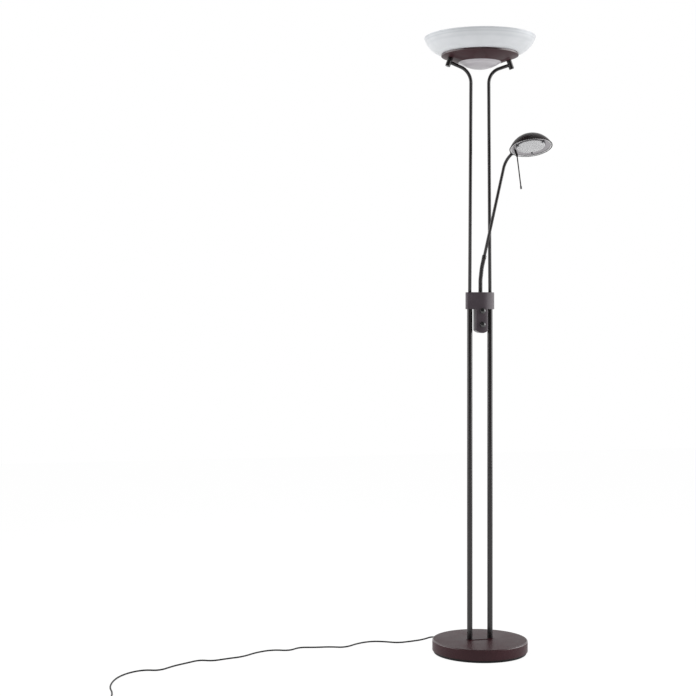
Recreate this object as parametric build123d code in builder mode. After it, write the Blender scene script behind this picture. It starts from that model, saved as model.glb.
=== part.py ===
"""Torchiere floor lamp with a reading light on a flexible neck.

Origin: centre of the base on the floor. +Z up, the two poles stand on the X axis,
the dimmer knobs face -Y. Millimetres.
"""

from build123d import *
from math import atan2, ceil, cos, degrees, hypot, pi, radians, sin, sqrt, tan
import os

# ---------------------------------------------------------------- driving dimensions

# fits
slip = 0.1           # radial play of a spigot, sleeve or screw in its hole
running = 0.05       # radial play of a turning shaft
rest_gap = 0.3       # gap between a lift-off piece and its curved seat
wire_play = 0.2      # radial play of a tube in a sheet metal hole

# base
base_diameter = 278.4
base_height = 38.6
cover_wall = 1.5
cover_edge_radius = 4.0
pad_height = 7.0
pad_inset = 4.0          # the pad is this much smaller than the cover, all round
pad_chamfer = 0.8
plate_thickness = 1.5
weight_play = 1.2
emboss_height = 1.5
emboss_width = 20.0
pocket_width = 34.0
pocket_depth = 18.0
channel_width = 13.0
channel_depth = 15.0
plate_screw_radius = 100.0
plate_screw_count = 3
plate_screw_shank = 5.0
plate_screw_length = 12.0
plate_screw_head = 9.5
plate_screw_head_height = 3.2

# pole feet
stud_diameter = 10.0
stud_bore = 6.0
stud_reach = 20.0        # how far a stud stands in its pole
stud_below_nut = 0.5
nut_across_flats = 16.0
nut_height = 8.0
nut_flange_diameter = 22.0
nut_flange_height = 2.0

# lower poles
pole_half_spacing = 31.2
pole_diameter = 16.0
pole_wall = 1.0
pole_top = 1045.0
pole_joint_height = 540.0
pole_edge_chamfer = 0.3
coupler_length = 60.0
coupler_bore = 9.0

# upper poles
upper_diameter = 10.0
upper_wall = 1.0
upper_top_half_spacing = 27.4
upper_bend_radius = 48.0
reducer_spigot = 25.0
reducer_flange = 3.0
reducer_stub_play = 0.3
reducer_stub_height = 22.0
reducer_bore = 5.0

# housing between the poles
housing_end_radius = 12.5
housing_front = 23.0     # how far the front bulges ahead of the poles' plane
housing_rear_line = 3.5  # the parting plane, behind the poles' plane
housing_bottom = 1004.5
housing_wall = 2.0
lid_gap = 0.4
lid_thickness = 8.5
lid_plate = 3.5
lid_edge_radius = 1.5
lid_groove_height = 1051.2
lid_groove = 0.5
lid_lip = 1.4
lid_lip_depth = 2.0
tongue_width = 36.8
tongue_bottom = 934.8
tongue_sag = 8.0         # how much the middle of its bottom edge hangs down
tongue_edge_radius = 2.5
housing_screw_diameter = 3.0
housing_screw_length = 16.0
housing_screw_head = 5.6
housing_screw_head_height = 1.6
housing_boss_diameter = 7.0
housing_screw_spread = 14.0
housing_screw_height = 1031.0
tongue_screw_height = 945.0

# dimmers
knob_heights = (959.0, 999.0)
knob_diameter = 15.5
knob_height = 8.0
knob_edge_radius = 1.6
knob_gap = 0.5
knob_bore_depth = 4.0
shaft_diameter = 6.0
bushing_diameter = 8.0
bushing_seat = 0.8       # how far the pots stand behind the inner face
dimmer_nut_diameter = 11.5
dimmer_nut_height = 1.8
nut_room = 1.8
pot_diameter = 17.0
pot_depth = 8.0
pot_floor = 1.5
board_width = 30.0
board_length = 76.0
board_thickness = 1.6
board_rise = 9.0         # board centre above the middle of the two knobs
board_centre_height = sum(knob_heights) / 2 + board_rise
choke_diameter = 15.0
choke_height = 11.0
terminal_height = 9.0

# gooseneck
neck_offset = 5.0        # how far the neck stands ahead of the poles' plane
neck_crest = 12.4
neck_valley = 10.4
neck_bore = 6.5
neck_foot_height = 3.0
neck_spigot = 9.8
neck_spigot_depth = 12.0
neck_nut_across_flats = 14.0
neck_nut_height = 4.0
neck_first_bend = 36.0   # from the lid to the middle of the first bend
neck_between_bends = 36.4
neck_last_run = 26.0
neck_bend_radius = 100.0
rib_pitch = 2.4

# arm
arm_lean = 12.4          # degrees from upright
arm_azimuth = -14.0      # direction of the lean, degrees from +X
arm_diameter = 9.0
arm_wall = 1.0
arm_rise = 336.8         # from the middle of the neck's bends to the arm's upper corner
arm_end_run = 28.6       # from the upper corner to the swivel
arm_bend_radius = 62.0
ferrule_diameter = 13.0
ferrule_length = 11.0
swivel_pin_diameter = 4.4
swivel_pin_length = 7.8
swivel_plug_length = 8.0
swivel_gap = 0.2

# reading head
head_azimuth = -56.2     # direction from the arm to the head, degrees from +X
head_tilt = 18.4         # degrees that the opening is turned towards -Y
head_mount_angle = 30.0  # between the arm's end and the plane of the opening
head_radius = 61.6
head_depth = 40.5
head_wall = 1.2
head_bead = 1.4
knuckle_stand_off = 68.0
knuckle_height = 4.0
knuckle_diameter = 13.0
knuckle_length = 15.0
reflector_wall = 0.8
reflector_lip_height = 1.0
reflector_ledge_radius = 39.0
reflector_ledge_height = 5.4
reflector_throat_radius = 13.0
reflector_throat_height = 24.0
lens_diameter = 82.0
lens_thickness = 3.0
lens_edge_radius = 0.6
clip_count = 3
clip_width = 5.0
clip_length = 10.5
clip_overlap = 3.0
clip_thickness = 0.8
clip_post_diameter = 3.0
bulb_diameter = 12.0
bulb_length = 18.0
holder_diameter = 18.0
lever_width = 6.0
lever_thickness = 3.0
lever_root = (-45.0, -13.0)
rod_offset = 50.0
rod_diameter = 3.6
rod_length = 102.0
rod_start = 6.0
lever_boss_height = 6.0
tip_diameter = 5.6
tip_length = 9.0
tip_grip = 4.0

# ring that carries the glass
total_height = 1800.0
bowl_rise = 49.5         # from the top of the ring's lip to the rim of the bowl
ring_radius = 113.0
ring_lip = 5.0
ring_opening = 62.5
ring_cone_rise = 18.5    # from the ring's opening to the foot of its lip
ring_sheet = 1.2
boss_seat_radius = 90.0
boss_diameter = 15.0
boss_length = 27.0
boss_edge = 0.8
boss_screw_depth = 8.0
pole_end_past_centre = 4.0
ring_screw_diameter = 5.0
ring_screw_length = 10.0
ring_screw_head = 9.5
ring_screw_head_height = 3.0

# glass
rim_radius = 163.2
glass_wall = 4.0
rim_edge_radius = 1.8
lip_inset = 0.5          # how far the bowl's outer foot stands inside the lip's edge
lip_over = 0.4           # and above it
bowl_arc_reach = 34.0    # from the bowl's outer foot to the middle of its curve
bowl_arc_lift = 20.1
bowl_seat_radius = 110.4
bowl_hole_radius = 98.0
lip_clearance = 0.5
lower_glass_sag = 20.0
lower_glass_wall = 3.0
lower_glass_flange = 68.0

# lamp in the bowl
bridge_width = 20.0
bridge_sheet = 1.5
bridge_rise = 21.0       # from the ring's opening to the bridge's upper surface
bridge_flat_half = 77.0
bridge_foot = (83.0, 96.5)
socket_gap = 106.0
socket_width = 14.0
socket_depth = 18.0
socket_height = 25.0
socket_recess = 6.0
socket_recess_diameter = 10.0
lamp_axis_height = 17.0
lamp_tube_diameter = 11.0
lamp_tube_length = 100.0
lamp_cap_diameter = 8.0

# leads and cord
lead_diameter = 4.5
sleeve_diameter = 6.6
base_lead_end = 30.0
exit_azimuth = 121.0
exit_height = 17.0
relief_length = 25.6
relief_root = 11.0
relief_tip = 6.4
relief_neck = 8.0
relief_flange = 12.0
relief_flange_length = 2.8
exit_run = 21.0
cord_diameter = 4.5
floor_line = cord_diameter / 2
coil_lift = 1.05         # room for the tie under the coil
coil_floor = floor_line + coil_lift
arc_share = 0.45         # how much of a run the arc beside it may take
coil_outer_radius = 28.0
coil_pitch = 5.2
coil_layer_rise = 5.1
turns_in = 1.5
turns_out = 1.25
coil_tail = 24.0
coil_samples = 900
tie_play = 0.8
tie_wall = 0.8
tie_width = 8.0
tie_corner = 1.5
plug_height = 7.2        # of its middle above the floor
plug_length = 34.0
plug_width = 34.0
plug_neck = 14.0
plug_sleeve = 16.0
plug_shoulder = 0.45
plug_face_start = 0.8
plug_taper = 3.0
plug_edge_radius = 2.0
pin_diameter = 4.0
pin_length = 19.0
pin_spacing = 18.6

# the cord's route from the strain relief to the coil, chosen point by point
cord_route = [
    (-121.0, 171.0, 6.2),
    (-158.0, 174.0, floor_line),
    (-203.0, 164.0, floor_line),
    (-238.0, 190.0, floor_line),
    (-274.0, 203.0, floor_line),
    (-320.0, 188.0, floor_line),
    (-371.0, 143.0, floor_line),
    (-412.0, 163.0, floor_line),
    (-458.0, 166.0, floor_line),
    (-503.0, 179.0, floor_line),
    (-539.0, 143.0, floor_line),
    (-584.0, 166.0, floor_line),
    (-636.0, 147.0, floor_line),
    (-684.0, 103.0, floor_line),
    (-732.0, 91.0, floor_line),
    (-778.0, 73.0, floor_line),
    (-811.0, 94.0, floor_line),
    (-850.0, 68.0, floor_line),
    (-892.0, 42.0, floor_line),
    (-936.0, -2.0, floor_line),
    (-976.0, 17.0, floor_line),
    (-1020.0, -4.0, floor_line),
    (-1054.0, -46.0, floor_line),
    (-1074.0, -98.0, floor_line),
    (-1084.0, -152.0, floor_line),
    (-1081.0, -205.0, floor_line),
    (-1088.0, -256.0, coil_floor),
]
coil_start = (-1087.0, -290.0, coil_floor)

# ---------------------------------------------------------------- derived sizes

base_radius = base_diameter / 2
cover_bore_radius = base_radius - cover_wall
plate_bottom = pad_height
weight_bottom = plate_bottom + plate_thickness
weight_top = base_height - cover_wall
pocket_top = weight_bottom + pocket_depth
pole_foot = base_height + emboss_height
pole_bore = pole_diameter - 2 * pole_wall
upper_bore = upper_diameter - 2 * upper_wall
lid_bottom = pole_top + lid_gap
lid_top = lid_bottom + lid_thickness
nut_top = pocket_top - nut_flange_height
stud_bottom = nut_top - nut_height - stud_below_nut
reducer_top = pole_top + reducer_flange
ring_top = total_height - bowl_rise
ring_opening_height = ring_top - ring_lip - ring_cone_rise
bridge_flat_height = ring_opening_height + bridge_rise
bowl_arc_foot = (ring_radius - lip_inset, ring_top + lip_over)
bowl_arc_middle = (bowl_arc_foot[0] + bowl_arc_reach, bowl_arc_foot[1] + bowl_arc_lift)

sides = (("left", -1), ("right", 1))


def write(piece, name):
    """Label a finished piece and write it under the same name."""
    piece.part.label = name
    export_step(piece.part, f"parts/{name}.step")


def thickened(points, thickness):
    """Outline of a bent sheet: a line of points and its copy to the left, mitred."""
    flat = [Vector(*point) for point in points]
    runs = [(b - a).normalized() for a, b in zip(flat, flat[1:])]
    other = []
    for index, point in enumerate(flat):
        into = runs[max(index - 1, 0)]
        out = runs[min(index, len(runs) - 1)]
        normal = Vector(-into.Y - out.Y, into.X + out.X).normalized()
        stretch = normal.dot(Vector(-into.Y, into.X))
        other.append(point + normal * (thickness / stretch))
    return flat + other[::-1]


def direction(azimuth, lean):
    """Unit vector that leans from +Z towards the given azimuth, both in degrees."""
    return Vector(
        sin(radians(lean)) * cos(radians(azimuth)),
        sin(radians(lean)) * sin(radians(azimuth)),
        cos(radians(lean)),
    )


os.makedirs("parts", exist_ok=True)

# ---------------------------------------------------------------- base

exit_direction = Vector(cos(radians(exit_azimuth)), sin(radians(exit_azimuth)), 0)
exit_side = Vector(-exit_direction.Y, exit_direction.X, 0)
exit_plane = Plane(
    origin=exit_direction * cover_bore_radius + Vector(0, 0, exit_height),
    x_dir=exit_side,
    z_dir=exit_direction,
)
plate_screw_places = PolarLocations(plate_screw_radius, plate_screw_count, start_angle=90)
pole_places = Locations((-pole_half_spacing, 0), (pole_half_spacing, 0))
pad_radius = base_radius - pad_inset

# soft foot under the whole base, with a pocket for each screw head
with BuildPart() as foot_pad:
    with BuildSketch() as pad_outline:
        Circle(pad_radius)
    extrude(amount=pad_height)
    chamfer(foot_pad.edges().group_by(Axis.Z)[0], length=pad_chamfer)
    with BuildSketch(Plane.XY.offset(pad_height)) as head_pockets:
        with plate_screw_places:
            Circle(plate_screw_head / 2 + slip)
    extrude(amount=-plate_screw_head_height - slip, mode=Mode.SUBTRACT)
write(foot_pad, "foot_pad")

with BuildPart() as base_plate:
    with BuildSketch(Plane.XY.offset(plate_bottom)) as plate_outline:
        Circle(cover_bore_radius - rest_gap)
        with plate_screw_places:
            Circle(plate_screw_shank / 2 + slip, mode=Mode.SUBTRACT)
    extrude(amount=plate_thickness)
write(base_plate, "base_plate")

with BuildPart() as plate_screws:
    with BuildSketch(Plane.XY.offset(plate_bottom)) as screw_heads:
        with plate_screw_places:
            Circle(plate_screw_head / 2)
    extrude(amount=-plate_screw_head_height)
    fillet(plate_screws.edges().group_by(Axis.Z)[0], radius=plate_screw_head_height / 3)
    with BuildSketch(Plane.XY.offset(plate_bottom)) as screw_shanks:
        with plate_screw_places:
            Circle(plate_screw_shank / 2)
    extrude(amount=plate_screw_length)
write(plate_screws, "plate_screws")

# cast weight, with a pocket for the nuts and a channel for the lead
with BuildPart() as base_weight:
    with BuildSketch(Plane.XY.offset(weight_bottom)) as weight_outline:
        Circle(cover_bore_radius - weight_play)
    extrude(amount=weight_top - weight_bottom)
    fillet(base_weight.edges().group_by(Axis.Z)[-1], radius=cover_edge_radius)
    with BuildSketch(Plane.XY.offset(weight_bottom)) as nut_pocket:
        SlotCenterToCenter(2 * pole_half_spacing, pocket_width)
    extrude(amount=pocket_depth, mode=Mode.SUBTRACT)
    with BuildSketch(
        Plane(origin=(0, 0, weight_bottom), x_dir=exit_direction, z_dir=(0, 0, 1))
    ) as lead_channel:
        with Locations((base_radius / 2, 0)):
            Rectangle(base_radius, channel_width)
    extrude(amount=channel_depth, mode=Mode.SUBTRACT)
    with BuildSketch(Plane.XY.offset(weight_bottom)) as stud_holes:
        with pole_places:
            Circle(stud_diameter / 2 + slip)
    extrude(amount=weight_top - weight_bottom, mode=Mode.SUBTRACT)
    with BuildSketch(Plane.XY.offset(weight_bottom)) as tapped_holes:
        with plate_screw_places:
            Circle(plate_screw_shank / 2 + slip)
    extrude(amount=plate_screw_length, mode=Mode.SUBTRACT)
write(base_weight, "base_weight")

# spun sheet cover with an embossed pad under the two poles
with BuildPart() as base_cover:
    with BuildSketch(Plane.XY.offset(plate_bottom + slip)) as cover_outline:
        Circle(base_radius)
    extrude(amount=base_height - plate_bottom - slip)
    fillet(base_cover.edges().group_by(Axis.Z)[-1], radius=cover_edge_radius)
    with BuildSketch(Plane.XY.offset(base_height)) as emboss:
        SlotCenterToCenter(2 * pole_half_spacing, emboss_width)
    extrude(amount=emboss_height)
    fillet(base_cover.edges().group_by(Axis.Z)[-1], radius=emboss_height / 2)
    with BuildSketch(Plane.XY.offset(plate_bottom)) as cover_bore:
        Circle(cover_bore_radius)
    extrude(amount=weight_top - plate_bottom, mode=Mode.SUBTRACT)
    with BuildSketch(Plane.XY.offset(weight_top)) as cover_holes:
        with pole_places:
            Circle(stud_diameter / 2 + wire_play)
    extrude(amount=pole_foot - weight_top, mode=Mode.SUBTRACT)
    with BuildSketch(exit_plane.offset(-cover_wall)) as lead_hole:
        Circle(relief_neck / 2 + slip)
    extrude(amount=3 * cover_wall, mode=Mode.SUBTRACT)
write(base_cover, "base_cover")

with BuildPart() as base_studs:
    with BuildSketch(Plane.XY.offset(stud_bottom)) as stud_section:
        with pole_places:
            Circle(stud_diameter / 2)
            Circle(stud_bore / 2, mode=Mode.SUBTRACT)
    extrude(amount=pole_foot + stud_reach - stud_bottom)
write(base_studs, "base_studs")

with BuildPart() as base_nuts:
    with BuildSketch(Plane.XY.offset(nut_top)) as nut_flats:
        with pole_places:
            RegularPolygon(nut_across_flats / 2, 6, major_radius=False)
    extrude(amount=-nut_height)
    with BuildSketch(Plane.XY.offset(nut_top)) as nut_flanges:
        with pole_places:
            Circle(nut_flange_diameter / 2)
    extrude(amount=nut_flange_height)
    with BuildSketch(Plane.XY.offset(pocket_top)) as nut_bores:
        with pole_places:
            Circle(stud_diameter / 2 + running)
    extrude(amount=-nut_height - nut_flange_height, mode=Mode.SUBTRACT)
write(base_nuts, "base_nuts")

# ---------------------------------------------------------------- lower poles

with BuildPart() as pole_plugs:
    with BuildSketch(Plane.XY.offset(pole_foot)) as plug_section:
        with pole_places:
            Circle(pole_bore / 2 - running)
            Circle(stud_diameter / 2 + running, mode=Mode.SUBTRACT)
    extrude(amount=stud_reach)
write(pole_plugs, "pole_plugs")


def pole_tube(side, low, high):
    """A straight tube of one lower pole, with its outer edges broken."""
    with BuildPart() as tube:
        with BuildSketch(Plane.XY.offset(low)):
            with Locations((side * pole_half_spacing, 0)):
                Circle(pole_diameter / 2)
        extrude(amount=high - low)
        chamfer(tube.edges().filter_by(GeomType.CIRCLE), length=pole_edge_chamfer)
        with BuildSketch(Plane.XY.offset(low)):
            with Locations((side * pole_half_spacing, 0)):
                Circle(pole_bore / 2)
        extrude(amount=high - low, mode=Mode.SUBTRACT)
    return tube


for side_name, side in sides:
    write(pole_tube(side, pole_foot, pole_joint_height), f"pole_bottom_{side_name}")
    write(pole_tube(side, pole_joint_height, pole_top), f"pole_middle_{side_name}")

with BuildPart() as pole_couplers:
    with BuildSketch(Plane.XY.offset(pole_joint_height - coupler_length / 2)) as coupler_section:
        with pole_places:
            Circle(pole_bore / 2 - running)
            Circle(coupler_bore / 2, mode=Mode.SUBTRACT)
    extrude(amount=coupler_length)
write(pole_couplers, "pole_couplers")

with BuildPart() as pole_reducers:
    with BuildSketch(Plane.XY.offset(pole_top)) as reducer_spigots:
        with pole_places:
            Circle(pole_bore / 2 - running)
    extrude(amount=-reducer_spigot)
    with BuildSketch(Plane.XY.offset(pole_top)) as reducer_flanges:
        with pole_places:
            Circle(pole_diameter / 2)
    extrude(amount=reducer_flange)
    with BuildSketch(Plane.XY.offset(reducer_top)) as reducer_stubs:
        with pole_places:
            Circle(upper_bore / 2 - reducer_stub_play)
    extrude(amount=reducer_stub_height)
    with BuildSketch(Plane.XY.offset(pole_top - reducer_spigot)) as reducer_bores:
        with pole_places:
            Circle(reducer_bore / 2)
    extrude(amount=reducer_spigot + reducer_flange + reducer_stub_height, mode=Mode.SUBTRACT)
write(pole_reducers, "pole_reducers")

# ---------------------------------------------------------------- upper poles and ring

ring_slope = degrees(atan2(ring_top - ring_lip - ring_opening_height, ring_radius - ring_opening))
ring_rise = tan(radians(ring_slope))
sheet_rise = ring_sheet / cos(radians(ring_slope))


def cone_under(radius):
    """Height of the ring's underside at a radius."""
    return ring_opening_height + (radius - ring_opening) * ring_rise


def cone_top(radius):
    """Height of the ring's upper surface at a radius."""
    return cone_under(radius) + sheet_rise


def boss_plane(side):
    """On the ring's underside where a boss sits, normal to the sheet, upwards."""
    return Plane(
        origin=(side * boss_seat_radius, 0, cone_under(boss_seat_radius)),
        x_dir=(0, 1, 0),
        z_dir=(-side * sin(radians(ring_slope)), 0, cos(radians(ring_slope))),
    )


def boss_centre(side):
    """Middle of a boss, where the end of its pole sits."""
    return boss_plane(side).origin - boss_plane(side).z_dir * (boss_length / 2)


def outward(side):
    """Direction of the last run of an upper pole, along the ring's sheet."""
    return Vector(side * cos(radians(ring_slope)), 0, sin(radians(ring_slope)))


def upper_points(side):
    """Foot, corner and end of an upper pole."""
    reach = boss_centre(side).X - side * upper_top_half_spacing
    corner = boss_centre(side) - outward(side) * abs(reach / cos(radians(ring_slope)))
    foot = Vector(side * pole_half_spacing, 0, reducer_top + slip)
    return foot, corner, boss_centre(side) + outward(side) * pole_end_past_centre


def upper_sweep(side, section_radius, hole_radius, skipped):
    """A round section along an upper pole, starting a little above its foot."""
    foot, corner, end = upper_points(side)
    start = foot + (corner - foot).normalized() * skipped
    with BuildPart() as tube:
        with BuildLine() as tube_path:
            FilletPolyline(start, corner, end, radius=upper_bend_radius)
        with BuildSketch(Plane(origin=start, z_dir=tube_path.line % 0)):
            Circle(section_radius)
            if hole_radius:
                Circle(hole_radius, mode=Mode.SUBTRACT)
        sweep()
    return tube


for side_name, side in sides:
    write(
        upper_sweep(side, upper_diameter / 2, upper_bore / 2, 0),
        f"upper_pole_{side_name}",
    )

with BuildPart() as holder_ring:
    with BuildSketch(Plane.XZ) as ring_profile:
        with BuildLine():
            Polyline(
                (ring_opening, cone_under(ring_opening)),
                (ring_radius, cone_under(ring_radius)),
                (ring_radius, ring_top),
                (ring_radius - ring_sheet, ring_top),
                (ring_radius - ring_sheet, cone_top(ring_radius - ring_sheet)),
                (ring_opening, cone_top(ring_opening)),
                close=True,
            )
        make_face()
    revolve(axis=Axis.Z)
    fillet(
        holder_ring.edges().group_by(Axis.Z)[-1].sort_by(SortBy.LENGTH)[-1],
        radius=ring_sheet / 3,
    )
    for side_name, side in sides:
        with BuildSketch(boss_plane(side)):
            Circle(ring_screw_diameter / 2 + slip)
        extrude(amount=2 * ring_sheet, both=True, mode=Mode.SUBTRACT)
write(holder_ring, "holder_ring")

with BuildPart() as ring_bosses:
    for side_name, side in sides:
        with BuildSketch(boss_plane(side)):
            Circle(boss_diameter / 2)
        extrude(amount=-boss_length)
    chamfer(ring_bosses.edges().filter_by(GeomType.CIRCLE), length=boss_edge)
    for side_name, side in sides:
        with BuildSketch(boss_plane(side)):
            Circle(ring_screw_diameter / 2 + running)
        extrude(amount=-boss_screw_depth, mode=Mode.SUBTRACT)
        with BuildSketch(
            Plane(origin=boss_centre(side) - outward(side) * boss_diameter, z_dir=outward(side))
        ):
            Circle(upper_diameter / 2 + running)
        extrude(amount=boss_diameter + pole_end_past_centre + slip, mode=Mode.SUBTRACT)
write(ring_bosses, "ring_bosses")

# bridge across the opening, held by the two ring screws
bridge_lift = wire_play + bridge_width**2 / 8 / boss_seat_radius * ring_rise
foot_inner, foot_outer = bridge_foot

with BuildPart() as lamp_bridge:
    with BuildSketch(Plane.XZ) as bridge_profile:
        with BuildLine():
            bridge_line = (
                (-foot_outer, cone_top(foot_outer) + bridge_lift),
                (-foot_inner, cone_top(foot_inner) + bridge_lift),
                (-bridge_flat_half, bridge_flat_height - bridge_sheet),
                (bridge_flat_half, bridge_flat_height - bridge_sheet),
                (foot_inner, cone_top(foot_inner) + bridge_lift),
                (foot_outer, cone_top(foot_outer) + bridge_lift),
            )
            Polyline(*thickened(bridge_line, bridge_sheet), close=True)
        make_face()
    extrude(amount=bridge_width / 2, both=True)
    for side_name, side in sides:
        with BuildSketch(boss_plane(side)):
            Circle(ring_screw_diameter / 2 + slip)
        extrude(amount=ring_screw_length, mode=Mode.SUBTRACT)
write(lamp_bridge, "lamp_bridge")

screw_seat = ring_sheet + bridge_lift * cos(radians(ring_slope)) + bridge_sheet

with BuildPart() as ring_screws:
    for side_name, side in sides:
        with BuildSketch(boss_plane(side).offset(screw_seat)):
            Circle(ring_screw_head / 2)
        extrude(amount=ring_screw_head_height)
    fillet(
        ring_screws.faces().filter_by(GeomType.PLANE).sort_by(Axis.Z)[-2:].edges(),
        radius=ring_screw_head_height / 3,
    )
    for side_name, side in sides:
        with BuildSketch(boss_plane(side).offset(screw_seat)):
            Circle(ring_screw_diameter / 2)
        extrude(amount=-ring_screw_length)
write(ring_screws, "ring_screws")

# ---------------------------------------------------------------- lamp and glass

lamp_axis = bridge_flat_height + lamp_axis_height
socket_middle = (socket_gap + socket_width) / 2

with BuildPart() as lamp_sockets:
    with BuildSketch(Plane.XY.offset(bridge_flat_height)) as socket_feet:
        with Locations((-socket_middle, 0), (socket_middle, 0)):
            Rectangle(socket_width, socket_depth)
    extrude(amount=socket_height)
    chamfer(lamp_sockets.edges().group_by(Axis.Z)[-1], length=boss_edge)
    with BuildSketch(Plane.YZ) as socket_recesses:
        with Locations((0, lamp_axis)):
            Circle(socket_recess_diameter / 2)
    extrude(amount=socket_gap / 2 + socket_recess, both=True, mode=Mode.SUBTRACT)
write(lamp_sockets, "lamp_sockets")

with BuildPart() as uplight_tube:
    with BuildSketch(Plane.YZ) as tube_section:
        with Locations((0, lamp_axis)):
            Circle(lamp_tube_diameter / 2)
    extrude(amount=lamp_tube_length / 2, both=True)
    fillet(uplight_tube.edges().filter_by(GeomType.CIRCLE), radius=lamp_tube_diameter / 5)
    with BuildSketch(Plane.YZ) as cap_section:
        with Locations((0, lamp_axis)):
            Circle(lamp_cap_diameter / 2)
    extrude(amount=socket_gap / 2 + socket_recess, both=True)
write(uplight_tube, "uplight_tube")

# lower glass: a shallow dome that hangs by its flange in the ring's opening
dome_edge = ring_opening - slip - wire_play
flange_start = cone_top(ring_opening) + slip
flange_end = cone_top(lower_glass_flange) + slip
dome_bottom = ring_opening_height - lower_glass_sag
dome_radius = (dome_edge**2 + lower_glass_sag**2) / (2 * lower_glass_sag)
dome_middle = dome_bottom + dome_radius


def dome_height(radius, shell):
    """Height of the lower glass at a radius, on its outer face or a wall further in."""
    return dome_middle - sqrt((dome_radius - shell) ** 2 - radius**2)


inner_edge = dome_edge - lower_glass_wall
with BuildPart() as lower_glass:
    with BuildSketch(Plane.XZ) as glass_profile:
        with BuildLine():
            ThreePointArc(
                (0, dome_bottom),
                (dome_edge / 2, dome_height(dome_edge / 2, 0)),
                (dome_edge, ring_opening_height),
            )
            Polyline(
                (dome_edge, ring_opening_height),
                (dome_edge, flange_start),
                (lower_glass_flange, flange_end),
                (lower_glass_flange, flange_end + lower_glass_wall),
                (inner_edge, flange_start + lower_glass_wall - slip),
                (inner_edge, dome_height(inner_edge, lower_glass_wall)),
            )
            ThreePointArc(
                (inner_edge, dome_height(inner_edge, lower_glass_wall)),
                (inner_edge / 2, dome_height(inner_edge / 2, lower_glass_wall)),
                (0, dome_bottom + lower_glass_wall),
            )
            Line((0, dome_bottom + lower_glass_wall), (0, dome_bottom))
        make_face()
    revolve(axis=Axis.Z)
write(lower_glass, "lower_glass")

# bowl: lifts off the ring, its foot sits inside the ring's lip
bowl_curve = ThreePointArc(bowl_arc_foot, bowl_arc_middle, (rim_radius, total_height))
bowl_centre = bowl_curve.arc_center
bowl_arc = bowl_curve.radius


def inner_point(radius):
    """Point of the bowl's inner face at a radius."""
    drop = sqrt((bowl_arc - glass_wall) ** 2 - (radius - bowl_centre.X) ** 2)
    return radius, bowl_centre.Y - drop


inner_foot = inner_point(bowl_seat_radius)
inner_rim_radius = bowl_centre.X + sqrt(
    (bowl_arc - glass_wall) ** 2 - (total_height - bowl_centre.Y) ** 2
)
with BuildPart() as uplight_bowl:
    with BuildSketch(Plane.XZ) as bowl_profile:
        with BuildLine():
            ThreePointArc(bowl_arc_foot, bowl_arc_middle, (rim_radius, total_height))
            Line((rim_radius, total_height), (inner_rim_radius, total_height))
            ThreePointArc(
                (inner_rim_radius, total_height),
                inner_point((inner_rim_radius + bowl_seat_radius) / 2),
                inner_foot,
            )
            Polyline(
                inner_foot,
                (bowl_hole_radius, cone_top(bowl_hole_radius) + rest_gap + glass_wall),
                (bowl_hole_radius, cone_top(bowl_hole_radius) + rest_gap),
                (bowl_seat_radius, cone_top(bowl_seat_radius) + rest_gap),
                (bowl_seat_radius, bowl_arc_foot[1] - lip_clearance),
                bowl_arc_foot,
            )
        make_face()
    revolve(axis=Axis.Z)
    fillet(uplight_bowl.edges().group_by(Axis.Z)[-1], radius=rim_edge_radius)
write(uplight_bowl, "uplight_bowl")

# ---------------------------------------------------------------- housing

front_radius = (
    (pole_half_spacing**2 + housing_front**2 - housing_end_radius**2)
    / (2 * (housing_front - housing_end_radius))
)
front_centre = front_radius - housing_front


def front_face(x, inset):
    """Y of the housing's front surface at an X, or of a surface inset from it."""
    return front_centre - sqrt((front_radius - inset) ** 2 - x**2)


def block_plan(inset):
    """Plan of the housing between the poles, drawn in by a wall."""
    end_radius = housing_end_radius - inset
    tangent = Vector(pole_half_spacing, -front_centre).normalized() * (front_radius - inset)
    tangent_x, tangent_y = tangent.X, tangent.Y + front_centre
    with BuildSketch(mode=Mode.PRIVATE) as plan:
        with BuildLine():
            ThreePointArc((-tangent_x, tangent_y), (0, front_face(0, inset)), (tangent_x, tangent_y))
            ThreePointArc(
                (tangent_x, tangent_y),
                (pole_half_spacing + end_radius, 0),
                (pole_half_spacing, end_radius),
            )
            Line((pole_half_spacing, end_radius), (-pole_half_spacing, end_radius))
            ThreePointArc(
                (-pole_half_spacing, end_radius),
                (-pole_half_spacing - end_radius, 0),
                (-tangent_x, tangent_y),
            )
        make_face()
    return plan.sketch


def tongue_plan(inset):
    """Plan of the tongue that carries the dimmers, drawn in by a wall."""
    half = tongue_width / 2 - inset
    rear = housing_rear_line + housing_wall - inset
    with BuildSketch(mode=Mode.PRIVATE) as plan:
        with BuildLine():
            ThreePointArc(
                (-half, front_face(half, inset)),
                (0, front_face(0, inset)),
                (half, front_face(half, inset)),
            )
            Polyline(
                (half, front_face(half, inset)),
                (half, rear),
                (-half, rear),
                (-half, front_face(half, inset)),
            )
        make_face()
        fillet(plan.vertices().group_by(Axis.Y)[0], radius=max(tongue_edge_radius - inset, 1))
    return plan.sketch


def tongue_side(inset):
    """Front view of the tongue, with its hanging lower edge."""
    half = tongue_width / 2 - inset
    low = tongue_bottom + inset
    with BuildSketch(mode=Mode.PRIVATE) as outline:
        with BuildLine():
            ThreePointArc((-half, low + tongue_sag), (0, low), (half, low + tongue_sag))
            Polyline(
                (half, low + tongue_sag),
                (half, housing_bottom + housing_wall),
                (-half, housing_bottom + housing_wall),
                (-half, low + tongue_sag),
            )
        make_face()
    return outline.sketch


def tongue_solid(inset, top):
    """The tongue, up to a height, or the space inside it."""
    with BuildPart() as solid:
        with BuildSketch(Plane.XY.offset(tongue_bottom)):
            add(tongue_plan(inset))
        extrude(amount=top - tongue_bottom)
        with BuildSketch(Plane.XZ):
            add(tongue_side(inset))
        extrude(amount=housing_front + housing_end_radius, both=True, mode=Mode.INTERSECT)
    return solid.part


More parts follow.
